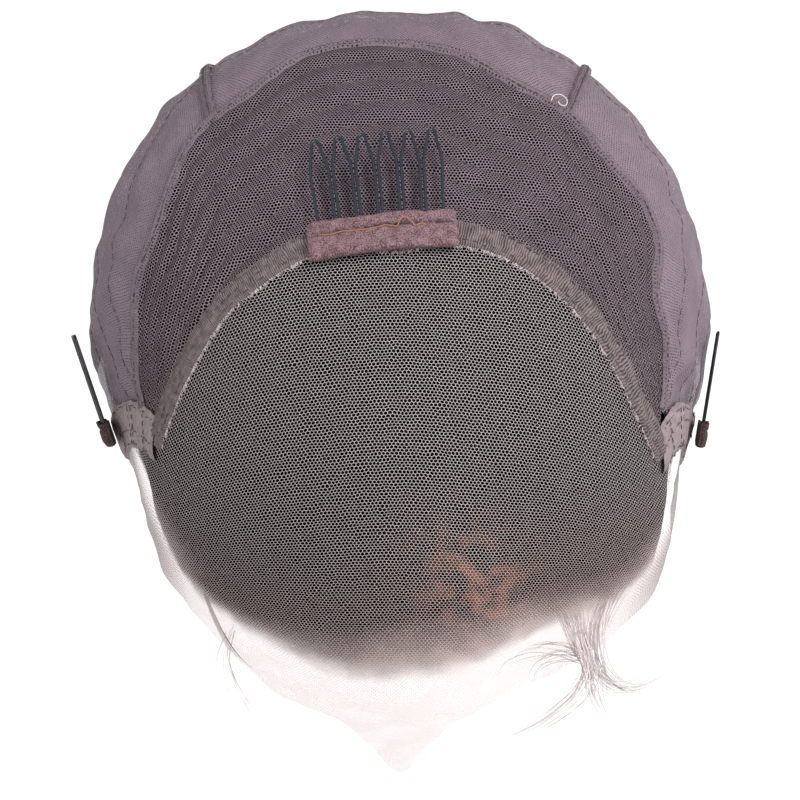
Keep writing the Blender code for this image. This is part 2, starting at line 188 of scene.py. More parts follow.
PLAN = Profile(
    (
        (-180.0, 1.05), (-157.5, 1.07), (-135.0, 1.07), (-112.5, 1.04), (-90.0, 1.00),
        (-67.5, 0.935), (-45.0, 1.04), (-22.5, 1.15), (0.0, 1.305), (22.5, 1.16),
        (45.0, 1.125), (67.5, 0.97), (90.0, 1.00), (112.5, 1.025), (135.0, 1.05),
        (157.5, 1.07), (180.0, 1.05),
    ),
    turning=True,
)
RIM = Profile(
    (
        (-180.0, 118.0), (-150.0, 115.0), (-120.0, 106.0), (-90.0, 98.0), (-74.0, 97.0),
        (-45.0, 96.0), (-28.0, 97.0), (-19.0, 98.0), (-8.0, 92.5), (-4.0, 97.0),
        (0.0, 105.0), (4.0, 97.0), (8.0, 92.5), (18.0, 94.0), (26.0, 98.0),
        (42.0, 95.5), (60.0, 98.0), (74.0, 98.0), (90.0, 98.0), (120.0, 106.0),
        (150.0, 115.0), (180.0, 118.0),
    ),
    turning=True,
)
HAIRLINE = Profile(
    (
        (-66.0, 92.0), (-57.0, 93.0), (-45.0, 92.0), (-35.0, 89.0), (-24.0, 85.0),
        (-14.0, 78.0), (-6.0, 73.0), (0.0, 70.0), (7.0, 71.0), (14.0, 74.0),
        (25.0, 78.0), (37.0, 83.0), (45.0, 86.0), (57.0, 92.0), (66.0, 93.0),
    )
)
TAPE_LINE = SeamLine(
    (
        (0.00, -50.0, -40.2), (0.08, -44.0, -34.6), (0.18, -37.8, -28.2),
        (0.28, -31.2, -22.0), (0.36, -24.0, -18.0), (0.45, -14.7, -13.8),
        (0.52, -6.0, -12.0), (0.58, 1.5, -10.9), (0.64, 8.3, -11.2),
        (0.71, 16.5, -13.4), (0.79, 26.0, -18.4), (0.87, 33.6, -25.0),
        (0.94, 40.6, -33.0), (1.00, 48.3, -40.2),
    )
)
CROWN_SEAM = SeamLine(
    (
        (0.00, -57.0, -34.5), (0.06, -60.3, -27.0), (0.12, -57.6, -18.0),
        (0.18, -53.0, -9.5), (0.24, -45.0, -2.4), (0.29, -40.6, 5.0),
        (0.34, -36.6, 12.4), (0.38, -32.0, 16.0), (0.43, -24.8, 19.2),
        (0.49, -15.0, 26.6), (0.55, -1.7, 28.4), (0.61, 9.7, 25.2),
        (0.66, 18.1, 20.1), (0.72, 28.6, 15.9), (0.77, 36.0, 9.0),
        (0.82, 44.6, 3.0), (0.87, 48.9, -4.0), (0.91, 50.2, -13.0),
        (0.95, 55.2, -21.0), (0.98, 54.2, -28.0), (1.00, 50.8, -33.5),
    )
)
BACK_SEAMS = {
    -1: SeamLine(
        ((0.0, -32.0, 16.0), (0.30, -37.5, 41.6), (0.68, -46.0, 76.0), (1.0, -52.0, 102.9))
    ),
    1: SeamLine(((0.0, 28.6, 15.9), (0.30, 36.7, 42.3), (0.68, 46.0, 76.0), (1.0, 52.0, 102.9))),
}
EAR_TABS = {
    -1: SeamLine(
        ((0.0, -50.0, -40.2), (0.30, -60.0, -36.0), (0.65, -74.5, -31.2), (1.0, -90.5, -25.8))
    ),
    1: SeamLine(
        ((0.0, 48.3, -40.2), (0.30, 58.0, -35.6), (0.65, 74.5, -30.6), (1.0, 91.5, -25.8))
    ),
}
BACK_SEAM_AT = {-1: 0.38, 1: 0.72}
SIDE_NAMES = {-1: "left", 1: "right"}


def polar(azimuth: Array, down: Array) -> Array:
    """Place (side, back) from an azimuth off the front and an angle down from the top."""
    turn = np.radians(azimuth)
    return np.stack([down * np.sin(turn), -down * np.cos(turn)], axis=-1)


def wrapped(azimuth: Array) -> Array:
    """Azimuth turned by whole turns into -180 to 180."""
    return (np.asarray(azimuth, float) + 180.0) % 360.0 - 180.0


@dataclass(frozen=True)
class HeadForm:
    """The head form that every layer of the cap and the hair follows."""

    half_width: float = 82.0
    crown_height: float = 90.0
    lower_height: float = 115.0
    fullness: float = 2.3
    tuck_from: float = 60.0
    tuck_to: float = 120.0
    section_points: int = 200

    def point(self, place: Array) -> Array:
        """Points of the form at places (side, back)."""
        side, back = place[..., 0], place[..., 1]
        azimuth = np.degrees(np.arctan2(side, -back))
        down = np.radians(np.hypot(side, back))
        reach = self.half_width * PLAN(azimuth)
        sine, cosine = np.sin(down), np.cos(down)
        full = (sine**self.fullness + np.maximum(cosine, 0.0) ** self.fullness) ** (
            -1 / self.fullness
        )
        tucked = 1 - ease(np.abs(azimuth), self.tuck_from, self.tuck_to) * (1 - sine)
        out = reach * np.where(cosine > 0, sine * full, tucked)
        up = np.where(cosine > 0, self.crown_height * cosine * full, self.lower_height * cosine)
        turn = np.radians(azimuth)
        return np.stack([out * np.sin(turn), -out * np.cos(turn), up], axis=-1)

    def steps(self, place: Array, step: float = 0.2) -> tuple[Array, Array]:
        """How the form's point moves per degree of side and per degree of back."""
        by_side = self.point(place + [step, 0.0]) - self.point(place - [step, 0.0])
        by_back = self.point(place + [0.0, step]) - self.point(place - [0.0, step])
        return by_side / (2 * step), by_back / (2 * step)

    def outward(self, place: Array) -> Array:
        """Unit vectors out of the form at places (side, back)."""
        return unit(np.cross(*self.steps(place)))

    def raised(self, place: Array, height: Array) -> Array:
        """Points at heights above the form at places (side, back)."""
        lift = np.broadcast_to(np.asarray(height, float), place.shape[:-1])
        return self.point(place) + lift[..., None] * self.outward(place)

    def beside(self, place: Array, direction: Array, distance: Array) -> Array:
        """Places reached by going along the form.

        Args:
            place: Places (side, back) to start from.
            direction: 3-D unit directions to go in.
            distance: How far to go, in millimetres.

        Returns:
            The places (side, back) that are reached.
        """
        by_side, by_back = self.steps(place)
        move = direction * np.asarray(distance, float)[..., None]
        a = (by_side * by_side).sum(-1)
        b = (by_side * by_back).sum(-1)
        c = (by_back * by_back).sum(-1)
        p = (move * by_side).sum(-1)
        q = (move * by_back).sum(-1)
        scale = a * c - b * b
        return place + np.stack([(c * p - b * q) / scale, (a * q - b * p) / scale], axis=-1)

    def top_at(self, x: Array, y: Array) -> Array:
        """Height of the form over points (x, y) of its plan."""
        reach = self.half_width * PLAN(np.degrees(np.arctan2(x, -y)))
        share = np.clip(np.hypot(x, y) / reach, 0.0, 1.0)
        return self.crown_height * (1 - share**self.fullness) ** (1 / self.fullness)

    def grain(self, points: Array, steps: int = 48) -> Array:
        """Where points of cloth lie in its flat weave, whose columns run from front to back.

        Args:
            points: Points on or near the form.
            steps: How finely the arcs are measured.

        Returns:
            Distances in millimetres across the columns and along them.
        """
        azimuth = np.arctan2(points[..., 0], -points[..., 1])
        reach = self.half_width * PLAN(np.degrees(azimuth))
        under = points[..., 2] < 0
        widest = np.stack([reach * np.sin(azimuth), -reach * np.cos(azimuth)], axis=-1)
        x, y = np.moveaxis(np.where(under[..., None], widest, points[..., :2]), -1, 0)
        drop = np.maximum(-points[..., 2], 0.0)
        wide = self.half_width * np.sin(np.linspace(0.0, 1.0, self.section_points) * np.pi / 2)
        high = self.top_at(wide, np.full(self.section_points, 1e-6))
        section = np.stack([wide, high], axis=-1)
        u = np.sign(x) * np.interp(np.abs(x), section[:, 0], travelled(section))
        t = np.sin(np.linspace(0.0, np.pi / 2, steps))
        ys = y[..., None] * t
        zs = self.top_at(np.broadcast_to(x[..., None], ys.shape), ys)
        v = travelled(np.stack([ys, zs], axis=-1), axis=ys.ndim - 1)[..., -1]
        u = u + drop * np.sin(azimuth)
        return np.stack([u, np.sign(y) * (v + drop * np.abs(np.cos(azimuth)))], axis=-1)


FORM = HeadForm()


class Wander:
    """Smooth irregular waves over a flat map, the same in every run."""

    def __init__(self, seed: int, longest: float, shortest: float, waves: int = 14) -> None:
        """Draws the waves.

        Args:
            seed: Fixes the waves.
            longest: Longest wavelength, in millimetres.
            shortest: Shortest wavelength, in millimetres.
            waves: How many are added up.
        """
        rng = np.random.default_rng(seed)
        length = np.exp(rng.uniform(np.log(shortest), np.log(longest), waves))
        turn = rng.uniform(0, np.pi, waves)
        self.run = 2 * np.pi * np.stack([np.cos(turn), np.sin(turn)]) / length
        self.phase = rng.uniform(0, 2 * np.pi, waves)
        self.size = length / length.sum() * 2.0

    def __call__(self, flat: Array) -> Array:
        """Heights of about -1 to 1 at places of a flat map in millimetres."""
        return (np.sin(flat @ self.run + self.phase) * self.size).sum(axis=-1)


def lattice(columns: int, rows: int) -> tuple[Array, Array]:
    """Shares s along the columns and w along the rows of a grid of cloth."""
    return np.meshgrid(np.linspace(0, 1, columns + 1), np.linspace(0, 1, rows + 1))


def to_frame(points: Array) -> Array:
    """Millimetres of the head form as metres of the frame."""
    return (points - [0.0, 0.0, SEAT]) * MM


def grid_mesh(
    name: str, points: Array, maps: dict[str, Array], cut_every: int = 0
) -> bpy.types.Mesh:
    """Mesh of a grid of points.

    Args:
        name: The mesh's name.
        points: Rows by columns by 3, in millimetres of the form.
        maps: UV maps by name, each rows by columns by 2.
        cut_every: Columns of points in a strip, where the grid is cut into separate strips.

    Returns:
        The mesh, smooth shaded, in metres of the frame.
    """
    rows, columns = points.shape[0] - 1, points.shape[1] - 1
    bm = bmesh.new()
    bmesh.ops.create_grid(bm, x_segments=columns, y_segments=rows, size=0.5)
    if cut_every:
        loose = [
            f for f in bm.faces
            if (int((f.calc_center_median().x + 0.5) * columns) + 1) % cut_every == 0
        ]
        bmesh.ops.delete(bm, geom=loose, context="FACES")
    flat = to_frame(points).reshape(-1, 3)
    order = []
    for vertex in bm.verts:
        column = round((vertex.co.x + 0.5) * columns)
        row = round((vertex.co.y + 0.5) * rows)
        order.append(row * (columns + 1) + column)
        vertex.co = Vector(flat[order[-1]])
    data = bpy.data.meshes.new(name)
    bm.to_mesh(data)
    bm.free()
    corners = np.empty(len(data.loops), np.int32)
    data.loops.foreach_get("vertex_index", corners)
    for title, values in maps.items():
        layer = data.uv_layers.new(name=title)
        placed = values.reshape(-1, 2)[np.array(order)[corners]]
        layer.data.foreach_set("uv", placed.astype(np.float32).ravel())
    data.shade_smooth()
    return data


def piece(name: str, data: bpy.types.Mesh, material: bpy.types.Material) -> bpy.types.Object:
    """A finished object of the wig, which rides on its body."""
    made = bpy.data.objects.new(name, data)
    made.data.materials.append(material)
    bpy.context.scene.collection.objects.link(made)
    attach(made, "root")
    return made


def cloth(
    name: str, points: Array, maps: dict[str, Array], material: bpy.types.Material
) -> bpy.types.Object:
    """A single layer of cloth whose faces look away from the head.

    Args:
        name: The piece's name.
        points: Rows by columns by 3.
        maps: UV maps by name.
        material: Its finish.

    Returns:
        The piece.
    """
    middle = points.reshape(-1, 3).mean(axis=0) * [0.5, 0.5, 0.0]
    across = points[1:-1, 2:] - points[1:-1, :-2]
    along = points[2:, 1:-1] - points[:-2, 1:-1]
    facing = (np.cross(across, along) * (points[1:-1, 1:-1] - middle)).sum()
    if facing < 0:
        points = points[:, ::-1]
        maps = {title: values[:, ::-1] for title, values in maps.items()}
    return piece(name, grid_mesh(name, points, maps), material)


def strands(
    name: str,
    paths: Array,
    facing: Array,
    widths: Array,
    sides: int,
    material: bpy.types.Material,
    seed: int = 5,
) -> bpy.types.Object:
    """Many threads, hairs or wires as one mesh.

    Args:
        name: The piece's name.
        paths: Strands by points by 3.
        facing: Directions that the strands face, in the shape of paths.
        widths: Width at each point of each strand.
        sides: 1 for flat ribbons, or the sides of round strands.
        material: Its finish.
        seed: Fixes each strand's own shade, which is the first value of its UV map.

    Returns:
        The piece.
    """
    count, points = paths.shape[:2]
    tangent = unit(np.gradient(paths, axis=1))
    across = unit(np.cross(tangent, facing))
    up = np.cross(across, tangent)
    half = widths[..., None] / 2
    if sides == 1:
        rings = [paths - half * across, paths + half * across]
    else:
        angles = np.linspace(0, 2 * np.pi, sides + 1)
        rings = [paths + half * (math.cos(a) * across + math.sin(a) * up) for a in angles]
    grid = np.stack(rings, axis=1).reshape(count * len(rings), points, 3).transpose(1, 0, 2)
    own = np.repeat(np.random.default_rng(seed).random(count), len(rings))
    shade = np.stack(np.broadcast_arrays(own, np.linspace(0, 1, points)[:, None]), axis=-1)
    data = grid_mesh(name, grid, {"strand": shade}, cut_every=len(rings))
    if sides > 1:
        bm = bmesh.new()
        bm.from_mesh(data)
        bmesh.ops.remove_doubles(bm, verts=bm.verts, dist=JOINED)
        bmesh.ops.dissolve_degenerate(bm, edges=bm.edges, dist=JOINED)
        bmesh.ops.recalc_face_normals(bm, faces=bm.faces)
        bm.to_mesh(data)
        bm.free()
    return piece(name, data, material)


def lone_thread(
    name: str, path: Array, facing: Array, wide: float, sides: int, material: bpy.types.Material
) -> bpy.types.Object:
    """One round thread or wire of even width, closed at both ends.

    Args:
        name: The piece's name.
        path: Points along it.
        facing: Direction it faces, one for all or one for each point.
        wide: Its width.
        sides: How many sides it has.
        material: Its finish.

    Returns:
        The piece.
    """
    widths = np.full((1, len(path)), wide)
    widths[:, [0, -1]] = 0.0
    out = np.broadcast_to(facing, path.shape)[None]
    return strands(name, path[None], out, widths, sides, material)


class Value:
    """A socket of numbers, on which plain arithmetic adds Math nodes."""

    def __init__(self, shade: "Shade", socket: bpy.types.NodeSocket) -> None:
        """Wraps a socket of a shade's tree."""
        self.shade = shade
        self.socket = socket

    def __add__(self, other: "Value | float") -> "Value":
        """Sum."""
        return self.shade.math("ADD", self, other)

    __radd__ = __add__

    def __sub__(self, other: "Value | float") -> "Value":
        """Difference."""
        return self.shade.math("SUBTRACT", self, other)

    def __rsub__(self, other: "Value | float") -> "Value":
        """Difference from a number."""
        return self.shade.math("SUBTRACT", other, self)

    def __mul__(self, other: "Value | float") -> "Value":
        """Product."""
        return self.shade.math("MULTIPLY", self, other)

    def __truediv__(self, other: "Value | float") -> "Value":
        """Quotient."""
        return self.shade.math("DIVIDE", self, other)

    def least(self, other: "Value | float") -> "Value":
        """Smaller of two."""
        return self.shade.math("MINIMUM", self, other)

    def most(self, other: "Value | float") -> "Value":
        """Larger of two."""
        return self.shade.math("MAXIMUM", self, other)

    def zigzag(self, half: float) -> "Value":
        """Distance to the nearest multiple of twice half."""
        return self.shade.math("PINGPONG", self, half)

    def rise(self, low: float, high: float) -> "Value":
        """Smooth rise from 0 at low to 1 at high; it falls where high is under low."""
        node = self.shade.node(
            "ShaderNodeMapRange",
            {"interpolation_type": "SMOOTHSTEP"},
            {"Value": self, "From Min": low, "From Max": high, "To Min": 0.0, "To Max": 1.0},
        )
        return Value(self.shade, node.outputs["Result"])


class Shade:
    """A material's node tree round one Principled shader."""

    def __init__(self, name: str) -> None:
        """Starts a material with that name."""
        self.material = bpy.data.materials.new(name)
        self.material.use_nodes = True
        self.tree = self.material.node_tree
        self.shader = self.tree.nodes["Principled BSDF"]

    def feed(self, node: bpy.types.Node, inputs: dict[str | int, object]) -> None:
        """Sets or links a node's sockets, by name or number."""
        for key, given in inputs.items():
            source = given.socket if isinstance(given, Value) else given
            if isinstance(source, bpy.types.NodeSocket):
                self.tree.links.new(source, node.inputs[key])
            elif isinstance(source, tuple) and len(source) == 3 and node.inputs[key].type == "RGBA":
                node.inputs[key].default_value = (*source, 1.0)
            else:
                node.inputs[key].default_value = source

    def node(
        self,
        kind: str,
        settings: dict[str, object] | None = None,
        inputs: dict[str | int, object] | None = None,
    ) -> bpy.types.Node:
        """Adds a node.

        Args:
            kind: Blender's type name.
            settings: Properties, which are set first.
            inputs: Values or links of its sockets.

        Returns:
            The node.
        """
        made = self.tree.nodes.new(kind)
        for key, value in (settings or {}).items():
            setattr(made, key, value)
        self.feed(made, inputs or {})
        return made

    def math(self, operation: str, *terms: "Value | float") -> Value:
        """Math node over one to three terms."""
        node = self.node("ShaderNodeMath", {"operation": operation}, dict(enumerate(terms)))
        return Value(self, node.outputs[0])

    def flat(self, title: str) -> tuple[bpy.types.NodeSocket, Value, Value]:
        """A UV map as a vector and as its two values."""
        vector = self.node("ShaderNodeUVMap", {"uv_map": title}).outputs["UV"]
        split = self.node("ShaderNodeSeparateXYZ", inputs={"Vector": vector})
        return vector, Value(self, split.outputs["X"]), Value(self, split.outputs["Y"])

    def noise(self, vector: bpy.types.NodeSocket, scale: float, detail: float = 2.0) -> Value:
        """Soft noise around 0.5 over a vector."""
        inputs = {"Vector": vector, "Scale": scale, "Detail": detail}
        return Value(self, self.node("ShaderNodeTexNoise", inputs=inputs).outputs["Fac"])

    def mix(self, share: Value, first: object, second: object) -> bpy.types.NodeSocket:
        """Mix of two colours, given as colours or sockets."""
        node = self.node("ShaderNodeMix", {"data_type": "RGBA", "clamp_factor": True})
        self.feed(node, {0: share, 6: first, 7: second})
        return node.outputs[2]

    def relief(self, height: Value, strength: float, distance: float) -> None:
        """Bump of the shader's normal; distance is in millimetres."""
        inputs = {"Height": height, "Strength": strength, "Distance": distance * MM}
        bump = self.node("ShaderNodeBump", inputs=inputs)
        self.tree.links.new(bump.outputs["Normal"], self.shader.inputs["Normal"])

    def finished(self, inputs: dict[str | int, object]) -> bpy.types.Material:
        """Feeds the shader and returns the material."""
        self.feed(self.shader, inputs)
        return self.material


@dataclass(frozen=True)
class NetFinish:
    """Knitted net with rows of holes, read from a flat map in millimetres.

    The last seven fields are for lace that lies over hair, and the first of them is the thread's
    colour there, a painted shade. Its second map holds the distance behind the hairline and how
    steeply the lace falls away at the temples.
    """

    name: str
    thread: Colour
    shadow: Colour
    pitch: float
    row: float
    thread_wide: float
    patchy: float = 0.35
    wave_across: float = 0.9
    wave_along: float = 0.8
    corner: float = 0.866
    soft: float = 0.02
    shade_over_hair: Colour | None = None
    side_colour: Colour | None = None
    hair_fade: float = 48.0
    veil_fade: float = 16.0
    rib: float = 0.85
    veil: float = 0.45
    veil_colour: Colour = (0.76, 0.61, 0.585)

    def material(self) -> bpy.types.Material:
        """Thread with open cells in staggered rows."""
        shade = Shade(self.name)
        vector, u, v = shade.flat("weave")
        u_worn = u + (shade.noise(vector, 0.23, 1.0) - 0.5) * self.wave_across
        v_worn = v + (shade.noise(vector, 0.31, 1.0) - 0.5) * self.wave_along
        slope = self.corner * self.corner * self.pitch / self.row
        a_x = u_worn.zigzag(self.pitch / 2)
        a_y = v_worn.zigzag(self.row)
        b_x = self.pitch / 2 - a_x
        b_y = self.row - a_y
        cell_a = a_x.most(a_x * 0.5 + a_y * slope)
        cell_b = b_x.most(b_x * 0.5 + b_y * slope)
        from_middle = cell_a.least(cell_b)
        edge = (self.pitch - self.thread_wide) / 2
        fine = shade.noise(vector, 2.1, 2.0)
        limit = edge + (fine - 0.5) * self.thread_wide * 0.8
        if self.shade_over_hair:
            _, behind, steep = shade.flat("edge")
            limit = limit - steep * edge * 0.3
        alpha = (from_middle - limit).rise(-self.soft, self.soft)
        worn = shade.noise(vector, 0.09, 3.0).rise(0.5 - self.patchy, 0.5 + self.patchy)
        twist = shade.noise(vector, 3.4, 1.0)
        colour = shade.mix(worn * 0.6 + twist * 0.4, self.shadow, self.thread)
        if self.shade_over_hair:
            # Over the hair the thread is darkened: painted shade where no light comes through the
            # lace from behind, broken up by the hair's knots.
            knots = shade.noise(vector, 1.3, 2.0).rise(0.25, 0.75)
            share = (behind / self.hair_fade + knots * 0.2 - 0.1).rise(0.0, 1.0)
            colour = shade.mix(share * (knots * 0.35 + 0.65), colour, self.shade_over_hair)
            colour = shade.mix(steep * (knots * 0.5 + 0.5), colour, self.side_colour)
            bare = 1 - (behind / self.veil_fade + knots * 0.2).rise(0.0, 1.0)
            ribs = (v_worn + u * 0.6).zigzag(self.rib).rise(self.rib * 0.5, self.rib * 0.8)
            veil = bare * (1 - steep) * (worn * 0.6 + 0.4) * self.veil
            colour = shade.mix(alpha.most(steep), self.veil_colour, colour)
            alpha = alpha.most(veil).most(steep * (ribs * 0.45 + 0.45))
        shade.relief(from_middle.rise(edge, self.pitch / 2), 0.5, self.thread_wide)
        return shade.finished(
            {"Base Color": colour, "Alpha": alpha, "Roughness": 0.9, "Specular IOR Level": 0.2}
        )


@dataclass(frozen=True)
class WovenFinish:
    """Ribbed cloth, read from a flat map in millimetres."""

    name: str
    light: Colour
    dark: Colour
    rib: float
    depth: float = 0.25
    thread: float = 0.21
    uneven: float = 1.6

    def material(self) -> bpy.types.Material:
        """Ribs that cross the strip, with painted shade between them and uneven colour."""
        shade = Shade(self.name)
        vector, u, v = shade.flat("weave")
        shift = (shade.noise(vector, 0.35, 2.0) - 0.5) * self.uneven
        ribs = (u + shift).zigzag(self.rib / 2) / (self.rib / 2)
        cross = v.zigzag(self.thread) / self.thread
        worn = shade.noise(vector, 0.45, 3.0)
        # Colour share: painted shade in the hollows of the ribs and between threads, and uneven
        # tone.
        rib_shade_and_uneven_tone = ribs * 0.45 + cross * 0.12 + worn * 0.62
        shade.relief(ribs * 0.7 + cross * 0.3, 0.6, self.depth)
        colour = shade.mix(rib_shade_and_uneven_tone.rise(0.32, 0.82), self.dark, self.light)
        return shade.finished({"Base Color": colour, "Roughness": 0.9, "Specular IOR Level": 0.2})


@dataclass(frozen=True)
class FeltFinish:
    """Matted felt."""

    name: str
    light: Colour
    dark: Colour

    def material(self) -> bpy.types.Material:
        """Short matted fibres and soft hollows."""
        shade = Shade(self.name)
        vector, _, _ = shade.flat("weave")
        clumps = shade.noise(vector, 0.55, 4.0)
        fibres = shade.noise(vector, 3.2, 3.0)
        shade.relief(clumps * 0.5 + fibres * 0.5, 1.0, 0.7)
        colour = shade.mix((clumps * 0.3 + fibres * 0.7).rise(0.36, 0.64), self.dark, self.light)
        return shade.finished({"Base Color": colour, "Roughness": 0.95, "Specular IOR Level": 0.1})


@dataclass(frozen=True)
class StrandFinish:
    """Thread, hair or wire whose strands differ a little from each other."""

    name: str
    dark: Colour
    light: Colour
    roughness: float
    specular: float = 0.3

    def material(self) -> bpy.types.Material:
        """Each strand takes its own shade between dark and light."""
        shade = Shade(self.name)
        _, own, _ = shade.flat("strand")
        colour = shade.mix(own, self.dark, self.light)
        return shade.finished(
            {
                "Base Color": colour,
                "Roughness": self.roughness,
                "Specular IOR Level": self.specular,
            }
        )


@dataclass(frozen=True)
class HairBedFinish:
    """Dense hair seen as one layer, which thins out towards the hairline."""

    name: str
    dark: Colour
    light: Colour
    warm_sheen: Colour
    feather: float = 0.0
    streaks: tuple[float, float, float] = (2.4, 0.09, 1.0)

    def material(self) -> bpy.types.Material:
        """Fine streaks along the hair and a painted warm sheen; the second map holds distances
        from the hairline and the sheen's share.
        """
        shade = Shade(self.name)
        vector, _, _ = shade.flat("weave")
        stretched = {0: vector, 1: self.streaks}
        stretch = shade.node(
            "ShaderNodeVectorMath", {"operation": "MULTIPLY"}, stretched
        ).outputs[0]
        streak = shade.noise(stretch, 1.0, 3.0)
        tone = shade.mix(streak.rise(0.42, 0.72), self.dark, self.light)
        inputs: dict[str | int, object] = {"Roughness": 0.7, "Specular IOR Level": 0.0}
        if self.feather:
            _, behind, sheen_share = shade.flat("edge")
            # A painted warm sheen, in one patch of the hair.
            painted_sheen = sheen_share * shade.noise(vector, 0.16, 2.0).rise(0.4, 0.66)
            tone = shade.mix(painted_sheen, tone, self.warm_sheen)
            patches = shade.noise(vector, 0.14, 2.0)
            bare = 1 - (behind / self.feather - (patches - 0.5) * 0.25).rise(0.0, 1.0)
            hairs = shade.noise(stretch, 2.2, 2.0)
            inputs["Alpha"] = 1 - bare * bare * bare * (hairs * 0.4 + 0.8).least(1.0)
        shade.relief(streak, 0.7, 0.6)
        return shade.finished({"Base Color": tone, **inputs})


CROWN_NET = NetFinish(
    "crown_net", (0.275, 0.212, 0.248), (0.165, 0.126, 0.148),
    pitch=0.82, row=0.64, thread_wide=0.18,
)
SIDE_NET = NetFinish(
    "side_net", (0.245, 0.189, 0.222), (0.165, 0.127, 0.149),
    pitch=0.86, row=0.68, thread_wide=0.56,
)
PALE_LACE = NetFinish(
    "pale_lace", (0.62, 0.49, 0.48), (0.48, 0.37, 0.37), pitch=0.92, row=0.72, thread_wide=0.100,
    # Its thread over the hair takes a painted shade colour.
    shade_over_hair=(0.46, 0.43, 0.46), side_colour=(0.15, 0.115, 0.12),
)
# The dark colours of tape and tabs serve as painted shade between the ribs and as uneven tone.
TAPE_CLOTH = WovenFinish("tape_cloth", (0.180, 0.142, 0.143), (0.030, 0.022, 0.023), 0.62)
TAB_CLOTH = WovenFinish("tab_cloth", (0.310, 0.246, 0.258), (0.130, 0.098, 0.104), 0.80)
SEAM_CORD = NetFinish(
    "seam_cord", (0.190, 0.146, 0.168), (0.120, 0.091, 0.106),
    pitch=0.86, row=0.68, thread_wide=0.52,
)
PINK_FELT = FeltFinish("pink_felt", (0.255, 0.160, 0.178), (0.056, 0.029, 0.033))
BROWN_FELT = FeltFinish("brown_felt", (0.085, 0.056, 0.052), (0.035, 0.023, 0.021))
GREY_WIRE = StrandFinish("grey_wire", (0.009, 0.013, 0.022), (0.012, 0.017, 0.028), 0.24, 0.5)
BLACK_WIRE = StrandFinish("black_wire", (0.004, 0.005, 0.008), (0.006, 0.007, 0.010), 0.40)
BROWN_THREAD = StrandFinish("brown_thread", (0.055, 0.040, 0.036), (0.110, 0.083, 0.074), 0.85)
DARK_THREAD = StrandFinish("dark_thread", (0.040, 0.031, 0.033), (0.085, 0.068, 0.068), 0.8)
RUST_THREAD = StrandFinish("rust_thread", (0.240, 0.100, 0.050), (0.300, 0.130, 0.070), 0.8)
PALE_THREAD = StrandFinish("pale_thread", (0.300, 0.250, 0.255), (0.640, 0.560, 0.560), 0.8)
LOOSE_HAIR = StrandFinish("loose_hair", (0.260, 0.205, 0.210), (0.680, 0.600, 0.590), 0.6)
HAIR = StrandFinish("hair", (0.002, 0.0015, 0.0015), (0.006, 0.0045, 0.004), 0.6, specular=0.03)
# The hair bed's third colour is a painted warm sheen.
HAIR_BED = HairBedFinish(
    "hair_bed", (0.001, 0.0008, 0.0008), (0.004, 0.003, 0.003), (0.190, 0.070, 0.036)
)
FRONT_HAIR_BED = HairBedFinish(
    "front_hair_bed", HAIR_BED.dark, HAIR_BED.light, HAIR_BED.warm_sheen, feather=18.0
)


class Held(Enum):
    """How a sheet of cloth is held."""

    STRETCHED = "stretched"
    GATHERED = "gathered"
    FOLDED = "folded"


@dataclass(frozen=True)
class Cut:
    """The flat cut of a sheet of cloth, in metres."""

    wide: float
    long: float
    area: float

    def declare(
        self, made: bpy.types.Object, held: Held, rests_on: Sequence[str], on_it: Sequence[str] = ()
    ) -> None:
        """Takes how a piece was cut and how it is held, and does nothing with them.

        Args:
            made: The sheet; not used.
            held: How it is held; not used.
            rests_on: Names of what it lies on or hangs from; not used.
            on_it: Names of the pieces sewn to it; not used.
        """


@dataclass(frozen=True)
class Stitching:
    """A row of sewn stitches along a line on the cloth.

    The rows of arch are (share of the stitch, share of its lift, share of its thickness).
    """

    long: float = 2.1
    gap: float = 0.7
    thick: float = 0.32
    lift: float = 0.16
    stray: float = 0.10
    arch: Rows = (
        (0.0, -1.6, 0.0), (0.12, 0.1, 0.7), (0.30, 0.8, 1.0), (0.5, 1.0, 1.0),
        (0.70, 0.8, 1.0), (0.88, 0.1, 0.7), (1.0, -1.6, 0.0),
    )

    def paths(self, line: Array, normal: Array, seed: int) -> Run:
        """Lays the stitches.

        Args:
            line: Closely spaced points of the sewn line.
            normal: Unit vectors out of the cloth at those points.
            seed: Fixes how the stitches stray.

        Returns:
            Paths, facing directions and widths of the stitches.
        """
        rng = np.random.default_rng(seed)
        far = travelled(line)
        count = max(int(far[-1] / (self.long + self.gap)), 1)
        starts = (np.arange(count) + 0.2) * far[-1] / count + rng.uniform(-0.15, 0.15, count)
        parts, rises, swells = np.array(self.arch).T
        at = starts[:, None] + self.long * rng.uniform(0.85, 1.1, (count, 1)) * parts
        points = along(line, far, at)
        out = unit(along(normal, far, at))
        sideways = unit(np.cross(out, np.gradient(points, axis=1)))
        aside, turned = (rng.normal(0, self.stray, (count, 1)) for _ in range(2))
        skew = aside + turned * parts
        points = points + (self.lift * rises)[:, None] * out + skew[..., None] * sideways
        return points, out, np.broadcast_to(self.thick * swells, at.shape)


WEFT_STITCH = Stitching(long=2.4, gap=0.3, thick=0.28, lift=0.10)
GATHER_STITCH = Stitching(long=2.4, gap=0.35, thick=0.22, lift=0.06)
TAPE_STITCH = Stitching(long=1.7, gap=0.6, thick=0.32, lift=0.12, stray=0.16)
SEAM_STITCH = Stitching(long=1.3, gap=0.3, thick=0.44, lift=0.16, stray=0.14)
TAB_STITCH = Stitching(long=1.5, gap=0.5, thick=0.28, lift=0.10, stray=0.2)
FELT_STITCH = Stitching(long=2.1, gap=0.2, thick=0.50, lift=0.20, stray=0.2)


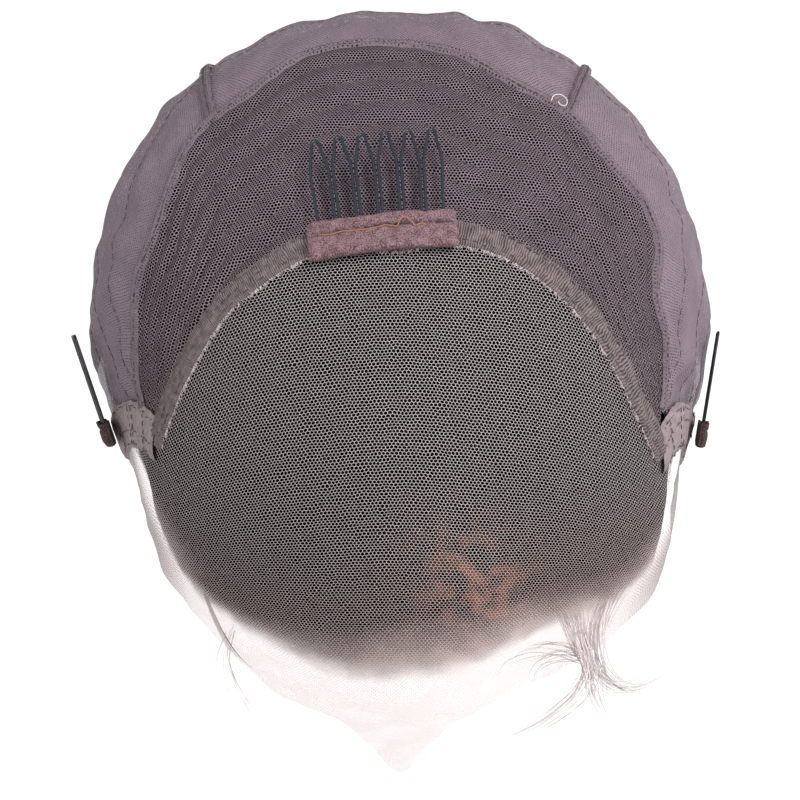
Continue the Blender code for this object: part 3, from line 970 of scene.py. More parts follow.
def sewn(name: str, runs: Sequence[Run], finish: StrandFinish) -> bpy.types.Object:
    """All the stitches of several rows as one piece."""
    paths, facing, widths = (np.concatenate(parts) for parts in zip(*runs))
    return strands(name, paths, facing, widths, STITCH_SIDES, finish.material())


def patch(
    front: Edge,
    rear: Edge,
    left: Edge,
    right: Edge,
) -> Surface:
    """Places over a panel between four curved edges.

    Args:
        front: Edge at w 0, by s.
        rear: Edge at w 1, by s.
        left: Edge at s 0, by w.
        right: Edge at s 1, by w.

    Returns:
        A function of s and w.
    """

    def place(s: Array, w: Array) -> Array:
        edges = mixed(front(s), rear(s), w) + mixed(left(w), right(w), s)
        ends = (mixed(side(0.0), side(1.0), s) for side in (front, rear))
        return edges - mixed(*ends, w)

    return place


def kept_in(place: Surface, margin: float) -> Surface:
    """The same places, drawn in from all four edges by a share of the panel."""

    def drawn_in(s: Array, w: Array) -> Array:
        inner = 1 - 2 * margin
        return place(margin + s * inner, margin + w * inner)

    return drawn_in


def rim_between(first: float, last: float) -> Edge:
    """The cap's lower edge from one azimuth to another."""

    def place(s: Array) -> Array:
        azimuth = first + np.asarray(s, float) * (last - first)
        return polar(azimuth, RIM(wrapped(azimuth)))

    return place


def on_seam(line: SeamLine, share: Array, across: Array, height: Array) -> Array:
    """Points beside a seam.

    Args:
        line: The seam.
        share: Shares of the way along it.
        across: Distances to the left of the way along, in millimetres.
        height: Heights above the form.

    Returns:
        The points.
    """
    place = line(share)
    ahead = FORM.point(line(np.minimum(share + 0.01, 1.0)))
    behind = FORM.point(line(np.maximum(share - 0.01, 0.0)))
    sideways = unit(np.cross(FORM.outward(place), ahead - behind))
    return FORM.raised(FORM.beside(place, sideways, across), height)


@dataclass(frozen=True)
class Panel:
    """A net panel: its places on the form and the relief of its cloth."""

    place: Surface
    relief: Surface

    def points(self, s: Array, w: Array, lift: float = 0.0) -> Array:
        """Points of the cloth at shares s and w, lifted off it."""
        return FORM.raised(self.place(s, w), self.relief(s, w) + lift)

    def weave(self, points: Array) -> Array:
        """Flat map of the cloth from the middle of its first row, in millimetres."""
        across = travelled(points, axis=1)
        middle = across.shape[1] // 2
        return np.stack([across - across[:, [middle]], travelled(points, axis=0)], axis=-1)

    def row(
        self, stitching: Stitching, at: Edge, ends: tuple[float, float], seed: int
    ) -> Run:
        """Stitches along a row of the panel.

        Args:
            stitching: The kind of stitches.
            at: Share w of the row at shares s.
            ends: First and last s.
            seed: Fixes how they stray.

        Returns:
            What strands() takes for them.
        """
        s = np.linspace(*ends, 500)
        line = self.points(s, at(s), lift=0.05)
        return stitching.paths(line, FORM.outward(self.place(s, at(s))), seed)


@dataclass(frozen=True)
class CrownNet:
    """The crown's net panel with its arched rows of stitches."""

    weft_rows: int = 8
    weft_high: float = 0.9
    depth: float = 0.5
    edge_share: float = 0.004
    sway: float = 0.016
    rough: float = 0.22
    flat_size: tuple[float, float] = (150.0, 60.0)
    columns: int = 250
    rows: int = 150
    cut: Cut = Cut(0.190, 0.070, 0.0098)

    def bend(self, s: Array) -> Array:
        """How far the rows wander towards the nape, as a share of the panel."""
        sides = ease(np.abs(s - 0.5), 0.12, 0.40)
        return self.sway * (0.4 + sides) * np.sin(2 * np.pi * 7.5 * s + 0.8 * np.sin(9 * s))

    def weft_row(self, number: int) -> Edge:
        """Share w of a row of stitches, at shares s."""
        return lambda s: number / self.weft_rows + self.bend(s)

    def panel(self) -> Panel:
        """Places and relief of the panel."""
        place = patch(
            TAPE_LINE,
            CROWN_SEAM,
            lambda w: mixed(TAPE_LINE(0.0), CROWN_SEAM(0.0), w),
            lambda w: mixed(TAPE_LINE(1.0), CROWN_SEAM(1.0), w),
        )
        worn = Wander(3, longest=22.0, shortest=7.0)

        def relief(s: Array, w: Array) -> Array:
            wave = 0.5 - 0.5 * np.cos(2 * np.pi * self.weft_rows * (w - self.bend(s)))
            flat = np.stack([s, w], axis=-1) * self.flat_size
            rough = self.rough * worn(flat) * faded(w, 0.0, 0.12)
            return self.weft_high * wave**0.8 * faded(s, 0.02, 0.22) - self.depth + rough

        return Panel(kept_in(place, self.edge_share), relief)

    def build(self) -> list[bpy.types.Object]:
        """Makes the net and its rows of stitches."""
        panel = self.panel()
        s, w = lattice(self.columns, self.rows)
        weave = FORM.grain(FORM.point(panel.place(s, w)))
        net = cloth("crown_net", panel.points(s, w), {"weave": weave}, CROWN_NET.material())
        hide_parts("crown_panel")
        runs = [
            panel.row(WEFT_STITCH, self.weft_row(k), (0.01, 0.99), k)
            for k in range(1, self.weft_rows)
        ]
        rows = sewn("crown_weft_stitches", runs, BROWN_THREAD)
        on_it = [rows.name, "crown_seam_fold", "seam_stitches"]
        self.cut.declare(net, Held.STRETCHED, ["hair_bed"], on_it)
        return [net, rows]


@dataclass(frozen=True)
class OuterNet:
    """The gathered net panels round the sides and the back."""

    ruffle_high: float = 1.9
    ruffle_slant: float = 1.3
    depth: float = 0.9
    row_shares: tuple[float, ...] = (0.22, 0.46, 0.72)
    row_wide: float = 0.018
    row_deep: float = 0.45
    gather_high: float = 0.35
    flat_size: tuple[float, float] = (115.0, 80.0)
    edge_share: float = 0.006
    columns: int = 220
    rows: int = 110
    cuts: tuple[Cut, Cut, Cut] = (
        Cut(0.150, 0.090, 0.0108), Cut(0.120, 0.130, 0.0140), Cut(0.150, 0.090, 0.0108),
    )

    def waver(self, s: Array) -> Array:
        """How far the rows of stitches sway towards the rim, as a share of the panel."""
        return 0.008 * np.sin(40 * s)

    def front_edge(self, side: int) -> Edge:
        """Edge from the crown seam's end in under the ear tab, for side -1 or 1."""
        corner = CROWN_SEAM(0.0 if side < 0 else 1.0)
        tab = EAR_TABS[side]

        def place(w: Array) -> Array:
            w = np.asarray(w, float)
            return tab(w) + (corner - tab(0.0)) * (1 - w[..., None]) ** 3

        return place

    def ruffled(self, edge: Surface, ruffles: int, seed: int) -> Panel:
        """Panel gathered into slanting ruffles that die out at its seams."""
        worn = Wander(seed, longest=26.0, shortest=5.0)
        drift = Wander(seed + 50, longest=60.0, shortest=25.0)

        def relief(s: Array, w: Array) -> Array:
            flat = np.stack([s, w], axis=-1) * self.flat_size
            turn = ruffles * s + self.ruffle_slant * w + 0.35 * drift(flat)
            wave = (0.5 - 0.5 * np.cos(2 * np.pi * turn)) * (0.55 + 0.35 * drift(flat[..., ::-1]))
            fade = ease(w, 0.0, 0.25) * faded(s, 0.0, 0.12)
            rows = sum(np.exp(-(((w - at) / self.row_wide) ** 2)) for at in self.row_shares)
            fine = self.gather_high * worn(flat) * ease(w, 0.0, 0.1) * ease(s * (1 - s), 0.0, 0.06)
            return (self.ruffle_high * wave - self.row_deep * rows) * fade - self.depth + fine

        return Panel(kept_in(edge, self.edge_share), relief)

    def panels(self) -> dict[str, Panel]:
        """The three panels by their CAD nodes' names."""
        left_at, right_at = BACK_SEAM_AT[-1], BACK_SEAM_AT[1]
        left = patch(
            lambda s: CROWN_SEAM(np.asarray(s) * left_at),
            rim_between(-74.1, -153.2),
            self.front_edge(-1),
            BACK_SEAMS[-1],
        )
        back = patch(
            lambda s: CROWN_SEAM(left_at + np.asarray(s) * (right_at - left_at)),
            rim_between(-153.2, -206.8),
            BACK_SEAMS[-1],
            BACK_SEAMS[1],
        )
        right = patch(
            lambda s: CROWN_SEAM(1 - np.asarray(s) * (1 - right_at)),
            rim_between(74.1, 153.2),
            self.front_edge(1),
            BACK_SEAMS[1],
        )
        return {
            "side_panel_left": self.ruffled(left, 6, 11),
            "back_panel": self.ruffled(back, 5, 12),
            "side_panel_right": self.ruffled(right, 6, 13),
        }

    def build(self) -> list[bpy.types.Object]:
        """Makes the three nets and their rows of stitches."""
        made = []
        material = SIDE_NET.material()
        for (node, panel), cut in zip(self.panels().items(), self.cuts):
            points = panel.points(*lattice(self.columns, self.rows))
            name = node.replace("panel", "net")
            net = cloth(name, points, {"weave": panel.weave(points)}, material)
            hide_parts(node)
            runs = [
                panel.row(GATHER_STITCH, lambda s, at=at: at + self.waver(s), (0.03, 0.97), k)
                for k, at in enumerate(self.row_shares)
            ]
            rows = sewn(f"{name}_stitches", runs, BROWN_THREAD)
            on_it = [rows.name]
            if node == "back_panel":
                on_it += ["back_seam_left_fold", "back_seam_right_fold"]
            cut.declare(net, Held.GATHERED, ["hair_bed", "crown_seam_fold"], on_it)
            made += [net, rows]
        return made


@dataclass(frozen=True)
class LaceFront:
    """Lace from the tape and the ear tabs down to the forehead edge."""

    tab_share: float = 5 / 26
    rim_turn: float = 72.5
    tab_end: float = 0.97
    curl_high: float = 0.7
    degree_long: float = 1.6
    steep_turn: tuple[float, float] = (30.0, 50.0)
    steep_down: tuple[float, float] = (72.0, 89.0)
    columns: int = 260
    rows: int = 150
    cut: Cut = Cut(0.250, 0.130, 0.0215)

    def place(self, s: Array, w: Array) -> Array:
        """Places of the lace."""
        inner = (s - self.tab_share) / (1 - 2 * self.tab_share)
        top = TAPE_LINE(np.clip(inner, 0.0, 1.0))
        for side, from_end in ((-1, s), (1, 1 - s)):
            tab = EAR_TABS[side](self.tab_end * np.clip(1 - from_end / self.tab_share, 0.0, 1.0))
            top = np.where((from_end < self.tab_share)[..., None], tab, top)
        return mixed(top, rim_between(-self.rim_turn, self.rim_turn)(s), w)

    def build(self) -> list[bpy.types.Object]:
        """Makes the lace."""
        s, w = lattice(self.columns, self.rows)
        place = self.place(s, w)
        curl = Wander(21, longest=34.0, shortest=11.0)
        height = self.curl_high * curl(place * self.degree_long) * ease(w, 0.80, 1.0)
        points = FORM.raised(place, height)
        azimuth = np.degrees(np.arctan2(place[..., 0], -place[..., 1]))
        down = np.hypot(place[..., 0], place[..., 1])
        behind = (HAIRLINE(azimuth) - down) * self.degree_long
        steep = ease(np.abs(azimuth), *self.steep_turn) * ease(down, *self.steep_down)
        maps = {
            "weave": FORM.grain(FORM.point(place)),
            "edge": np.stack([behind, steep], axis=-1),
        }
        lace = cloth("lace_net", points, maps, PALE_LACE.material())
        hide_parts("lace_front")
        on_it = ["lace_tape_ribbed", "lace_tape_stitches", "lace_raw_edge"]
        self.cut.declare(lace, Held.STRETCHED, ["hair_bed"], on_it)
        return [lace]


@dataclass(frozen=True)
class Ridge:
    """A cloth strip sewn over a seam, domed across its width."""

    wide: float
    low: float
    high: float
    squareness: float = 2.0
    grooves: tuple[float, ...] = ()
    groove_deep: float = 0.3
    rough: float = 0.10
    edge_stray: float = 0.15
    groove_wide: float = 0.16

    def points(
        self, line: SeamLine, share: Array, across: Array, seed: int, flat_long: float
    ) -> Array:
        """Points of the strip.

        Args:
            line: The seam it follows.
            share: Shares along the seam.
            across: -1 to 1 over the strip's width.
            seed: Fixes its unevenness.
            flat_long: Length of the seam, in millimetres.

        Returns:
            The points.
        """
        flat = np.stack([share * flat_long, across * self.wide / 2], axis=-1)
        uneven = Wander(seed, longest=14.0, shortest=2.5)(flat)
        stray = Wander(seed + 1, longest=9.0, shortest=3.0)(flat * [1.0, 0.0])
        dome = np.maximum(1 - np.abs(across) ** self.squareness, 0.0) ** 0.5
        height = self.low + (self.high - self.low) * dome + self.rough * uneven * dome
        for groove in self.grooves:
            notch = np.exp(-(((across - groove) / self.groove_wide) ** 2))
            height = height - self.groove_deep * notch * dome
        spread = across * (self.wide / 2 + self.edge_stray * stray)
        return on_seam(line, share, spread, height)

    def build(
        self,
        name: str,
        line: SeamLine,
        ends: tuple[float, float],
        columns: int,
        finish: WovenFinish | NetFinish,
        seed: int,
        rows: int = 14,
    ) -> bpy.types.Object:
        """Makes the strip between two shares of the seam."""
        s, w = lattice(columns, rows)
        share = ends[0] + s * (ends[1] - ends[0])
        far = travelled(FORM.point(line(np.linspace(*ends, 200))))[-1]
        points = self.points(line, share, 2 * w - 1, seed, far)
        weave = np.stack([s * far, (w - 0.5) * self.wide], axis=-1)
        return cloth(name, points, {"weave": weave}, finish.material())

    def stitches(
        self,
        line: SeamLine,
        ends: tuple[float, float],
        across: float,
        stitching: Stitching,
        seed: int,
        lift: float = 0.0,
    ) -> Run:
        """Stitches along the strip at one place across it."""
        share = np.linspace(*ends, 600)
        beside = np.full_like(share, across)
        dome = max(1 - abs(across) ** self.squareness, 0.0) ** 0.5
        height = self.low + (self.high - self.low) * dome + lift
        if across in self.grooves:
            height -= self.groove_deep * dome
        points = on_seam(line, share, beside * self.wide / 2, np.full_like(share, height))
        return stitching.paths(points, FORM.outward(line(share)), seed)


@dataclass(frozen=True)
class Trim:
    """Tape, seams and ear tabs that are sewn over the cap's joints."""

    tape: Ridge = Ridge(6.4, 0.35, 1.40, 5.0, (-0.62, 0.0, 0.62), 0.32, 0.26, 0.40)
    seam: Ridge = Ridge(3.4, -0.2, 0.90, 2.0, (-0.30,), 0.60, 0.26, 0.45)
    back_seam: Ridge = Ridge(3.2, -0.3, 0.60, 2.0, (0.0,), 0.35, 0.20, 0.40)
    tab: Ridge = Ridge(12.0, 0.20, 1.15, 6.0, (-0.80, 0.80), 0.25, 0.30, 0.40)
    tab_cut: Cut = Cut(0.012, 0.060, 0.00070)
    tab_rows: tuple[float, ...] = (-0.80, 0.25, 0.80)
    tab_bars: tuple[float, ...] = (0.16, 0.38, 0.44, 0.74)
    fibres: int = 620
    fibre_long: float = 1.6
    fibre_wide: float = 0.17

    def lace_tape(self) -> list[bpy.types.Object]:
        """Tape over the joint of lace and crown, with its rows of stitches and raw edge."""
        made = self.tape.build("lace_tape_ribbed", TAPE_LINE, (0.0, 1.0), 420, TAPE_CLOTH, 31)
        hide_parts("lace_tape")
        front, middle, rear = self.tape.grooves
        sewn_to = {front: 0.995, rear: 0.995, middle: 0.46}
        runs = [
            self.tape.stitches(TAPE_LINE, (0.005, last), groove, TAPE_STITCH, seed)
            for seed, (groove, last) in enumerate(sewn_to.items(), 1)
        ]
        return [made, sewn("lace_tape_stitches", runs, DARK_THREAD), self.raw_edge()]

    def raw_edge(self) -> bpy.types.Object:
        """Pale cut threads of the lace that stick out from under the tape."""
        rng = np.random.default_rng(41)
        share = np.sort(rng.uniform(0.01, 0.99, self.fibres))[:, None]
        parts = np.linspace(0.0, 1.0, 5)
        long = rng.uniform(0.5, 1.0, (self.fibres, 1)) * self.fibre_long
        across = -self.tape.wide / 2 + 0.5 - long * parts
        slant = rng.normal(0.0, 0.004, (self.fibres, 1)) * parts
        height = 0.35 + 0.3 * np.sin(np.pi * parts) * rng.uniform(0.2, 1.0, (self.fibres, 1))
        paths = on_seam(TAPE_LINE, np.clip(share + slant, 0.0, 1.0), across, height)
        facing = FORM.outward(TAPE_LINE(np.broadcast_to(share, across.shape)))
        taper = self.fibre_wide * np.array([0.0, 1.0, 1.0, 0.9, 0.0])
        widths = np.broadcast_to(taper, across.shape)
        return strands("lace_raw_edge", paths, facing, widths, 4, PALE_THREAD.material())

    def seams(self) -> list[bpy.types.Object]:
        """Overcast folds along the crown and down to the nape, with their stitches."""
        lines = {"crown_seam": (self.seam, CROWN_SEAM, 620, 51)}
        for side, word in SIDE_NAMES.items():
            lines[f"back_seam_{word}"] = (self.back_seam, BACK_SEAMS[side], 180, 55 + side)
        ends = (0.0, 1.0)
        made, runs = [], []
        for node, (strip, line, columns, seed) in lines.items():
            fold = strip.build(f"{node}_fold", line, ends, columns, SEAM_CORD, seed)
            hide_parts(node)
            made.append(fold)
            runs.append(strip.stitches(line, ends, strip.grooves[0], SEAM_STITCH, seed, lift=0.10))
        return [*made, sewn("seam_stitches", runs, DARK_THREAD)]

    def ear_tabs(self) -> list[bpy.types.Object]:
        """Stitched cloth tabs from the tape's ends to the lower edge."""
        made = []
        for side, word in SIDE_NAMES.items():
            line = EAR_TABS[side]
            tab = self.tab.build(f"ear_tab_{word}_cloth", line, (0.0, 1.0), 150, TAB_CLOTH, 61)
            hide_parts(f"ear_tab_{word}")
            runs = [
                self.tab.stitches(line, (0.03, 0.99), across, TAB_STITCH, 70 + n)
                for n, across in enumerate(self.tab_rows)
            ]
            for n, share in enumerate(self.tab_bars):
                across = np.linspace(-0.9, 0.9, 60)
                at = np.full_like(across, share) + 0.012 * across**2
                rise = self.tab.high + 0.05
                points = on_seam(line, at, across * self.tab.wide / 2, np.full_like(at, rise))
                runs.append(TAB_STITCH.paths(points, FORM.outward(line(at)), 80 + n))
            rows = sewn(f"ear_tab_{word}_stitches", runs, DARK_THREAD)
            self.tab_cut.declare(tab, Held.STRETCHED, ["lace_net"], [rows.name])
            made += [tab, rows]
        return made

    def build(self) -> list[bpy.types.Object]:
        """Makes all the trim."""
        return [*self.seams(), *self.lace_tape(), *self.ear_tabs()]


@dataclass(frozen=True)
class WireComb:
    """A comb bent from one wire and the felt folded round its foot."""

    teeth: int = 6
    pitch: float = 5.6
    foot_pitch: float = 5.0
    wire: float = 0.78
    reach: float = 27.0
    felt_thick: float = 0.7
    clearance: float = 0.3
    tooth: Rows = ((0.00, 1.95), (0.45, 2.1), (0.70, 2.25), (0.87, 1.15), (0.965, 0.95))
    points: int = 620
    roundings: int = 3
    rounding: float = 0.22
    foot_back: float = 0.9
    sides: int = 10

    @property
    def fold_high(self) -> float:
        """Height between the middles of the felt's two layers."""
        return self.wire + 2 * self.clearance + self.felt_thick + 0.1

    def pattern(self) -> Array:
        """Flat wire path, rounded at its bends, as (along the foot, towards the tips)."""
        path: list[tuple[float, float]] = []
        for tooth in range(self.teeth):
            order = tooth - (self.teeth - 1) / 2
            if tooth:
                path.append(((order - 0.5) * self.foot_pitch, -self.foot_back))
            near = [
                (order * (self.foot_pitch + (self.pitch - self.foot_pitch) * share), spread, share)
                for share, spread in self.tooth
            ]
            path += [(middle - spread, share * self.reach) for middle, spread, share in near]
            path.append((order * self.pitch, self.reach))
            path += [(middle + spread, share * self.reach) for middle, spread, share in near[::-1]]
        bent = np.array(path)
        for _ in range(self.roundings):
            cut = np.empty((2 * len(bent) - 2, 2))
            cut[0::2] = (1 - self.rounding) * bent[:-1] + self.rounding * bent[1:]
            cut[1::2] = self.rounding * bent[:-1] + (1 - self.rounding) * bent[1:]
            bent = np.concatenate([bent[:1], cut, bent[-1:]])
        far = travelled(bent)
        return along(bent, far, np.linspace(0.0, far[-1], self.points))

    def build(
        self,
        name: str,
        point_at: Placer,
        facing: Array,
        finish: StrandFinish,
    ) -> bpy.types.Object:
        """Makes the wire.

        Args:
            name: The piece's name.
            point_at: Places the pattern's points, with a height.
            facing: Direction across the comb's flat.
            finish: The wire's finish.

        Returns:
            The piece.
        """
        flat = self.pattern()
        path = point_at(flat[:, 0], flat[:, 1], np.zeros(len(flat)))
        made = lone_thread(name, path, facing, self.wire, self.sides, finish.material())
        return made


@dataclass(frozen=True)
class CombPocket:
    """Felt folded over a comb's foot and stitched down in a groove."""

    long: float
    wide: float
    thick: float
    fold_high: float
    groove_at: float = 0.17
    groove_deep: float = 0.95
    columns: int = 120
    rows: int = 56
    seed: int = 91

    def fold(self, w: Array) -> tuple[Array, Array]:
        """Section of the fold, from its lower flap round the bend to its upper flap.

        Args:
            w: 0 to 1 along the section.

        Returns:
            Distances across the pocket and heights.
        """
        bend = 0.42
        ends = np.array([0.0, 0.455, 0.545, 1.0])
        across = np.interp(w, ends, [0.5, -bend, -bend, 0.5]) * self.wide
        turn = np.clip((w - ends[1]) / (ends[2] - ends[1]), 0.0, 1.0) * np.pi
        bulge = (0.5 - bend) * self.wide * np.sin(turn)
        height = -np.cos(turn) / 2 * self.fold_high
        return across - bulge, height

    def build(
        self,
        name: str,
        node: str,
        point_at: Placer,
        facing: Array,
        finish: FeltFinish,
        thread: StrandFinish,
        rests_on: Sequence[str],
    ) -> list[bpy.types.Object]:
        """Makes the felt and its row of stitches.

        Args:
            name: The piece's name.
            node: The CAD node it stands for.
            point_at: Places the pattern's points, with a height.
            facing: Direction out of the pocket's upper face.
            finish: The felt.
            thread: Its stitches.
            rests_on: What the pocket is sewn to.

        Returns:
            The pieces.
        """
        s, w = lattice(self.columns, self.rows)
        across, height = self.fold(w)
        upper = ease(w, 0.56, 0.64)
        rough = Wander(self.seed, longest=8.0, shortest=1.4)
        flat = np.stack([(s - 0.5) * self.long, across + 40.0 * upper], axis=-1)
        groove = np.exp(-(((across / self.wide - self.groove_at) / 0.07) ** 2))
        height = height + upper * (0.20 * rough(flat) - self.groove_deep * groove)
        from_end = np.minimum(s, 1 - s) * self.long
        height = height * (0.25 + 0.75 * ease(from_end, 0.0, 1.6))
        edge = 0.30 * rough(flat * [1.0, 0.0]) * (2 * w - 1) ** 8
        points = point_at((s - 0.5) * self.long, across + edge, height)
        weave = np.stack([(s - 0.5) * self.long, w * 2.2 * self.wide], axis=-1)
        felt = cloth(name, points, {"weave": weave}, finish.material())
        wall = felt.modifiers.new("felt", "SOLIDIFY")
        wall.thickness = self.thick * 0.9 * MM
        wall.offset = 0
        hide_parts(node)
        a = np.linspace(-0.48, 0.48, 300) * self.long
        b = np.full_like(a, self.groove_at * self.wide) + 0.12 * np.sin(a * 0.9)
        top = np.full_like(a, self.fold_high / 2 + self.thick / 2 - self.groove_deep + 0.12)
        line = point_at(a, b, top)
        run = FELT_STITCH.paths(line, np.broadcast_to(facing, line.shape), self.seed)
        rows = sewn(f"{name}_stitches", [run], thread)
        section = travelled(np.stack(self.fold(np.linspace(0, 1, 200)), axis=-1))[-1]
        cut = Cut(self.long * MM, section * MM, self.long * section * MM * MM)
        cut.declare(felt, Held.FOLDED, rests_on, [rows.name])
        return [felt, rows]


@dataclass(frozen=True)
class Combs:
    """The top comb over the tape and the two side combs over the ear tabs."""

    wire: WireComb = WireComb()
    top_place: tuple[float, float] = (-4.1, -20.5)
    top_turn: float = 5.0
    top_lift: float = 0.05
    top_gap: float = 0.9
    tape_thick: float = 1.0
    side_at: tuple[float, float] = (73.0, 89.5)
    side_rise: float = 2.85
    side_out: tuple[float, float] = (0.32, 0.15)
    side_lean: tuple[float, float] = (0.14, 0.11)

    def top_point(self, a: Array, b: Array, height: Array) -> Array:
        """Point of the top comb's pattern: a along its foot, b towards the nape."""
        turn = math.radians(self.top_turn)
        x = self.top_place[0] + a * math.cos(turn) - b * math.sin(turn)
        y = self.top_place[1] + a * math.sin(turn) + b * math.cos(turn)
        rest = self.top_gap + self.tape_thick + self.wire.felt_thick / 2 + self.wire.fold_high / 2
        up = FORM.top_at(x, y) + rest + height + np.maximum(b, 0.0) * self.top_lift
        return np.stack([x, y, up], axis=-1)

    def side_placer(self, side: int) -> tuple[Placer, Array]:
        """Placer of points in a side comb's pattern, and its outward direction."""
        which = 0 if side < 0 else 1
        azimuth, down = self.side_at
        place = polar(np.array(side * azimuth), np.array(down))
        foot = FORM.raised(place, self.side_rise + self.wire.fold_high / 2)
        tooth = unit(np.array([side * self.side_out[which], 0.81, 0.50]))
        line = unit(np.array([-side * self.side_lean[which], -0.50, 0.86]))
        out = np.cross(line, tooth)
        out *= side * np.sign(out[0])

        def point_at(a: Array, b: Array, height: Array) -> Array:
            return foot + a[..., None] * line + b[..., None] * tooth + height[..., None] * out

        return point_at, out

    def loose_thread(self) -> bpy.types.Object:
        """Rust thread that runs along the top pocket's groove and ends in a loop."""
        rows = (
            (-15.0, 0.9, 0.05), (-12.0, 0.5, 0.10), (-9.0, 0.8, 0.05), (-6.0, 0.5, 0.10),
            (-2.0, 0.6, 0.05), (1.0, 0.9, 0.10), (3.3, 0.35, 0.20), (4.5, 1.97, 0.45),
            (5.7, 2.20, 0.50), (6.9, 1.20, 0.45), (7.8, 0.10, 0.30), (9.0, 0.60, 0.25),
            (10.2, 0.35, 0.05),
        )
        far = np.arange(len(rows)) / (len(rows) - 1)
        a, b, rise = (curve(np.linspace(0, 1, 160)) for curve in curves(rows, far))
        face = self.wire.fold_high / 2 + self.wire.felt_thick / 2
        path = self.top_point(a, b, rise + face)
        up = [0.0, 0.0, 1.0]
        return lone_thread("felt_loose_thread", path, up, 0.30, 6, RUST_THREAD.material())

    def build(self) -> list[bpy.types.Object]:
        """Makes the three combs and their pockets."""
        up = np.array([0.0, 0.0, 1.0])
        fold = self.wire.fold_high
        top = self.wire.build("top_comb_wire", self.top_point, up, GREY_WIRE)
        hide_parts("top_comb")
        pocket = CombPocket(35.0, 8.4, self.wire.felt_thick, fold)
        made = [top, self.loose_thread()]
        made += pocket.build(
            "top_comb_felt", "top_comb_pocket", self.top_point, up, PINK_FELT, DARK_THREAD,
            ["lace_tape_ribbed"],
        )
        for side, word in SIDE_NAMES.items():
            point_at, out = self.side_placer(side)
            comb = self.wire.build(f"side_comb_{word}_wire", point_at, out, BLACK_WIRE)
            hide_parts(f"side_comb_{word}")
            small = CombPocket(32.0, 6.0, self.wire.felt_thick, fold, seed=94 + side)
            made.append(comb)
            made += small.build(
                f"side_comb_{word}_felt", f"side_comb_pocket_{word}", point_at, out,
                BROWN_FELT, DARK_THREAD, [f"ear_tab_{word}_cloth"],
            )
        return made


@dataclass(frozen=True)
class HairInside:
    """Hair that lies flat under the net and the lace, from the hairline to the rim.

    front_over is how many degrees the hair goes on past the drawn hairline, by azimuth, so
    that it can thin out there. It ends front_short degrees before the rim.
    """

    depth: float = 2.9
    rear_turn: float = 84.0
    rear_short: float = 1.0
    front_turn: float = 73.0
    front_over: Profile = Profile(
        (
            (-75.0, 4.0), (-60.0, 4.0), (-45.0, 6.0), (-30.0, 5.0), (0.0, 8.5),
            (30.0, 9.0), (45.0, 7.0), (60.0, 4.0), (75.0, 4.0),
        )
    )
    front_short: float = 1.2
    sheen_at: tuple[float, float] = (20.0, -89.0)
    sheen_reach: tuple[float, float] = (12.0, 8.0)
    columns: int = 220
    rows: int = 170
    lying: int = 2600

    def place(self, s: Array, w: Array) -> Array:
        """Places of the hair from its hairline, at w 0, to the rim behind."""
        azimuth = -self.front_turn * (1 - 2 * s)
        hairline = HAIRLINE(azimuth) + self.front_over(azimuth)
        front = polar(azimuth, np.minimum(hairline, RIM(azimuth) - self.front_short))
        turn = -self.rear_turn - s * (360.0 - 2 * self.rear_turn)
        rear = polar(turn, RIM(wrapped(turn)) - self.rear_short)
        return mixed(front, rear, w)

    def build(self) -> list[bpy.types.Object]:
        """Makes the bed of hair and the hairs that lie on it."""
        s, w = lattice(self.columns, self.rows)
        place = self.place(s, w**1.4)
        worn = Wander(101, longest=18.0, shortest=5.0)
        points = FORM.raised(place, 0.3 * worn(place * 1.5) - self.depth)
        from_side = travelled(points, axis=1)
        from_side = np.minimum(from_side, from_side[:, -1:] - from_side)
        behind = np.minimum(travelled(points, axis=0), from_side * 2.2 + 40 * ease(w, 0.30, 0.62))
        # Where the painted warm sheen lies: a soft patch at the front right.
        off = (points[..., :2] - self.sheen_at) / self.sheen_reach
        sheen_share = np.exp(-(off**2).sum(axis=-1))
        maps = {
            "weave": FORM.grain(FORM.point(place)),
            "edge": np.stack([behind, sheen_share], axis=-1),
        }
        bed = cloth("hair_bed", points, maps, FRONT_HAIR_BED.material())
        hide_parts("hair_base")
        return [bed, self.hairs()]

    def hairs(self) -> bpy.types.Object:
        """Loose hairs over the bed, which run back from the hairline."""
        rng = np.random.default_rng(103)
        parts = np.linspace(0.0, 1.0, 9)
        s = rng.uniform(0.02, 0.98, (self.lying, 1)) + rng.normal(0, 0.02, (self.lying, 1)) * parts
        start = 0.16 + 0.74 * rng.uniform(0.0, 1.0, (self.lying, 1)) ** 1.2
        w = np.clip(start + rng.uniform(0.06, 0.14, (self.lying, 1)) * parts, 0.0, 0.99)
        s = np.clip(s + 0.006 * np.sin(parts * 5 + rng.uniform(0, 6, (self.lying, 1))), 0.01, 0.99)
        place = self.place(s, w)
        lift = rng.uniform(0.15, 0.9, (self.lying, 1)) * np.sin(np.pi * parts) ** 0.5
        paths = FORM.raised(place, lift - self.depth + 0.35)
        widths = 0.30 * np.sin(np.pi * np.clip(parts, 0.03, 0.97)) ** 0.6
        shape = np.broadcast_to(widths, paths.shape[:2])
        return strands("hair_lying", paths, FORM.outward(place), shape, 1, HAIR.material())


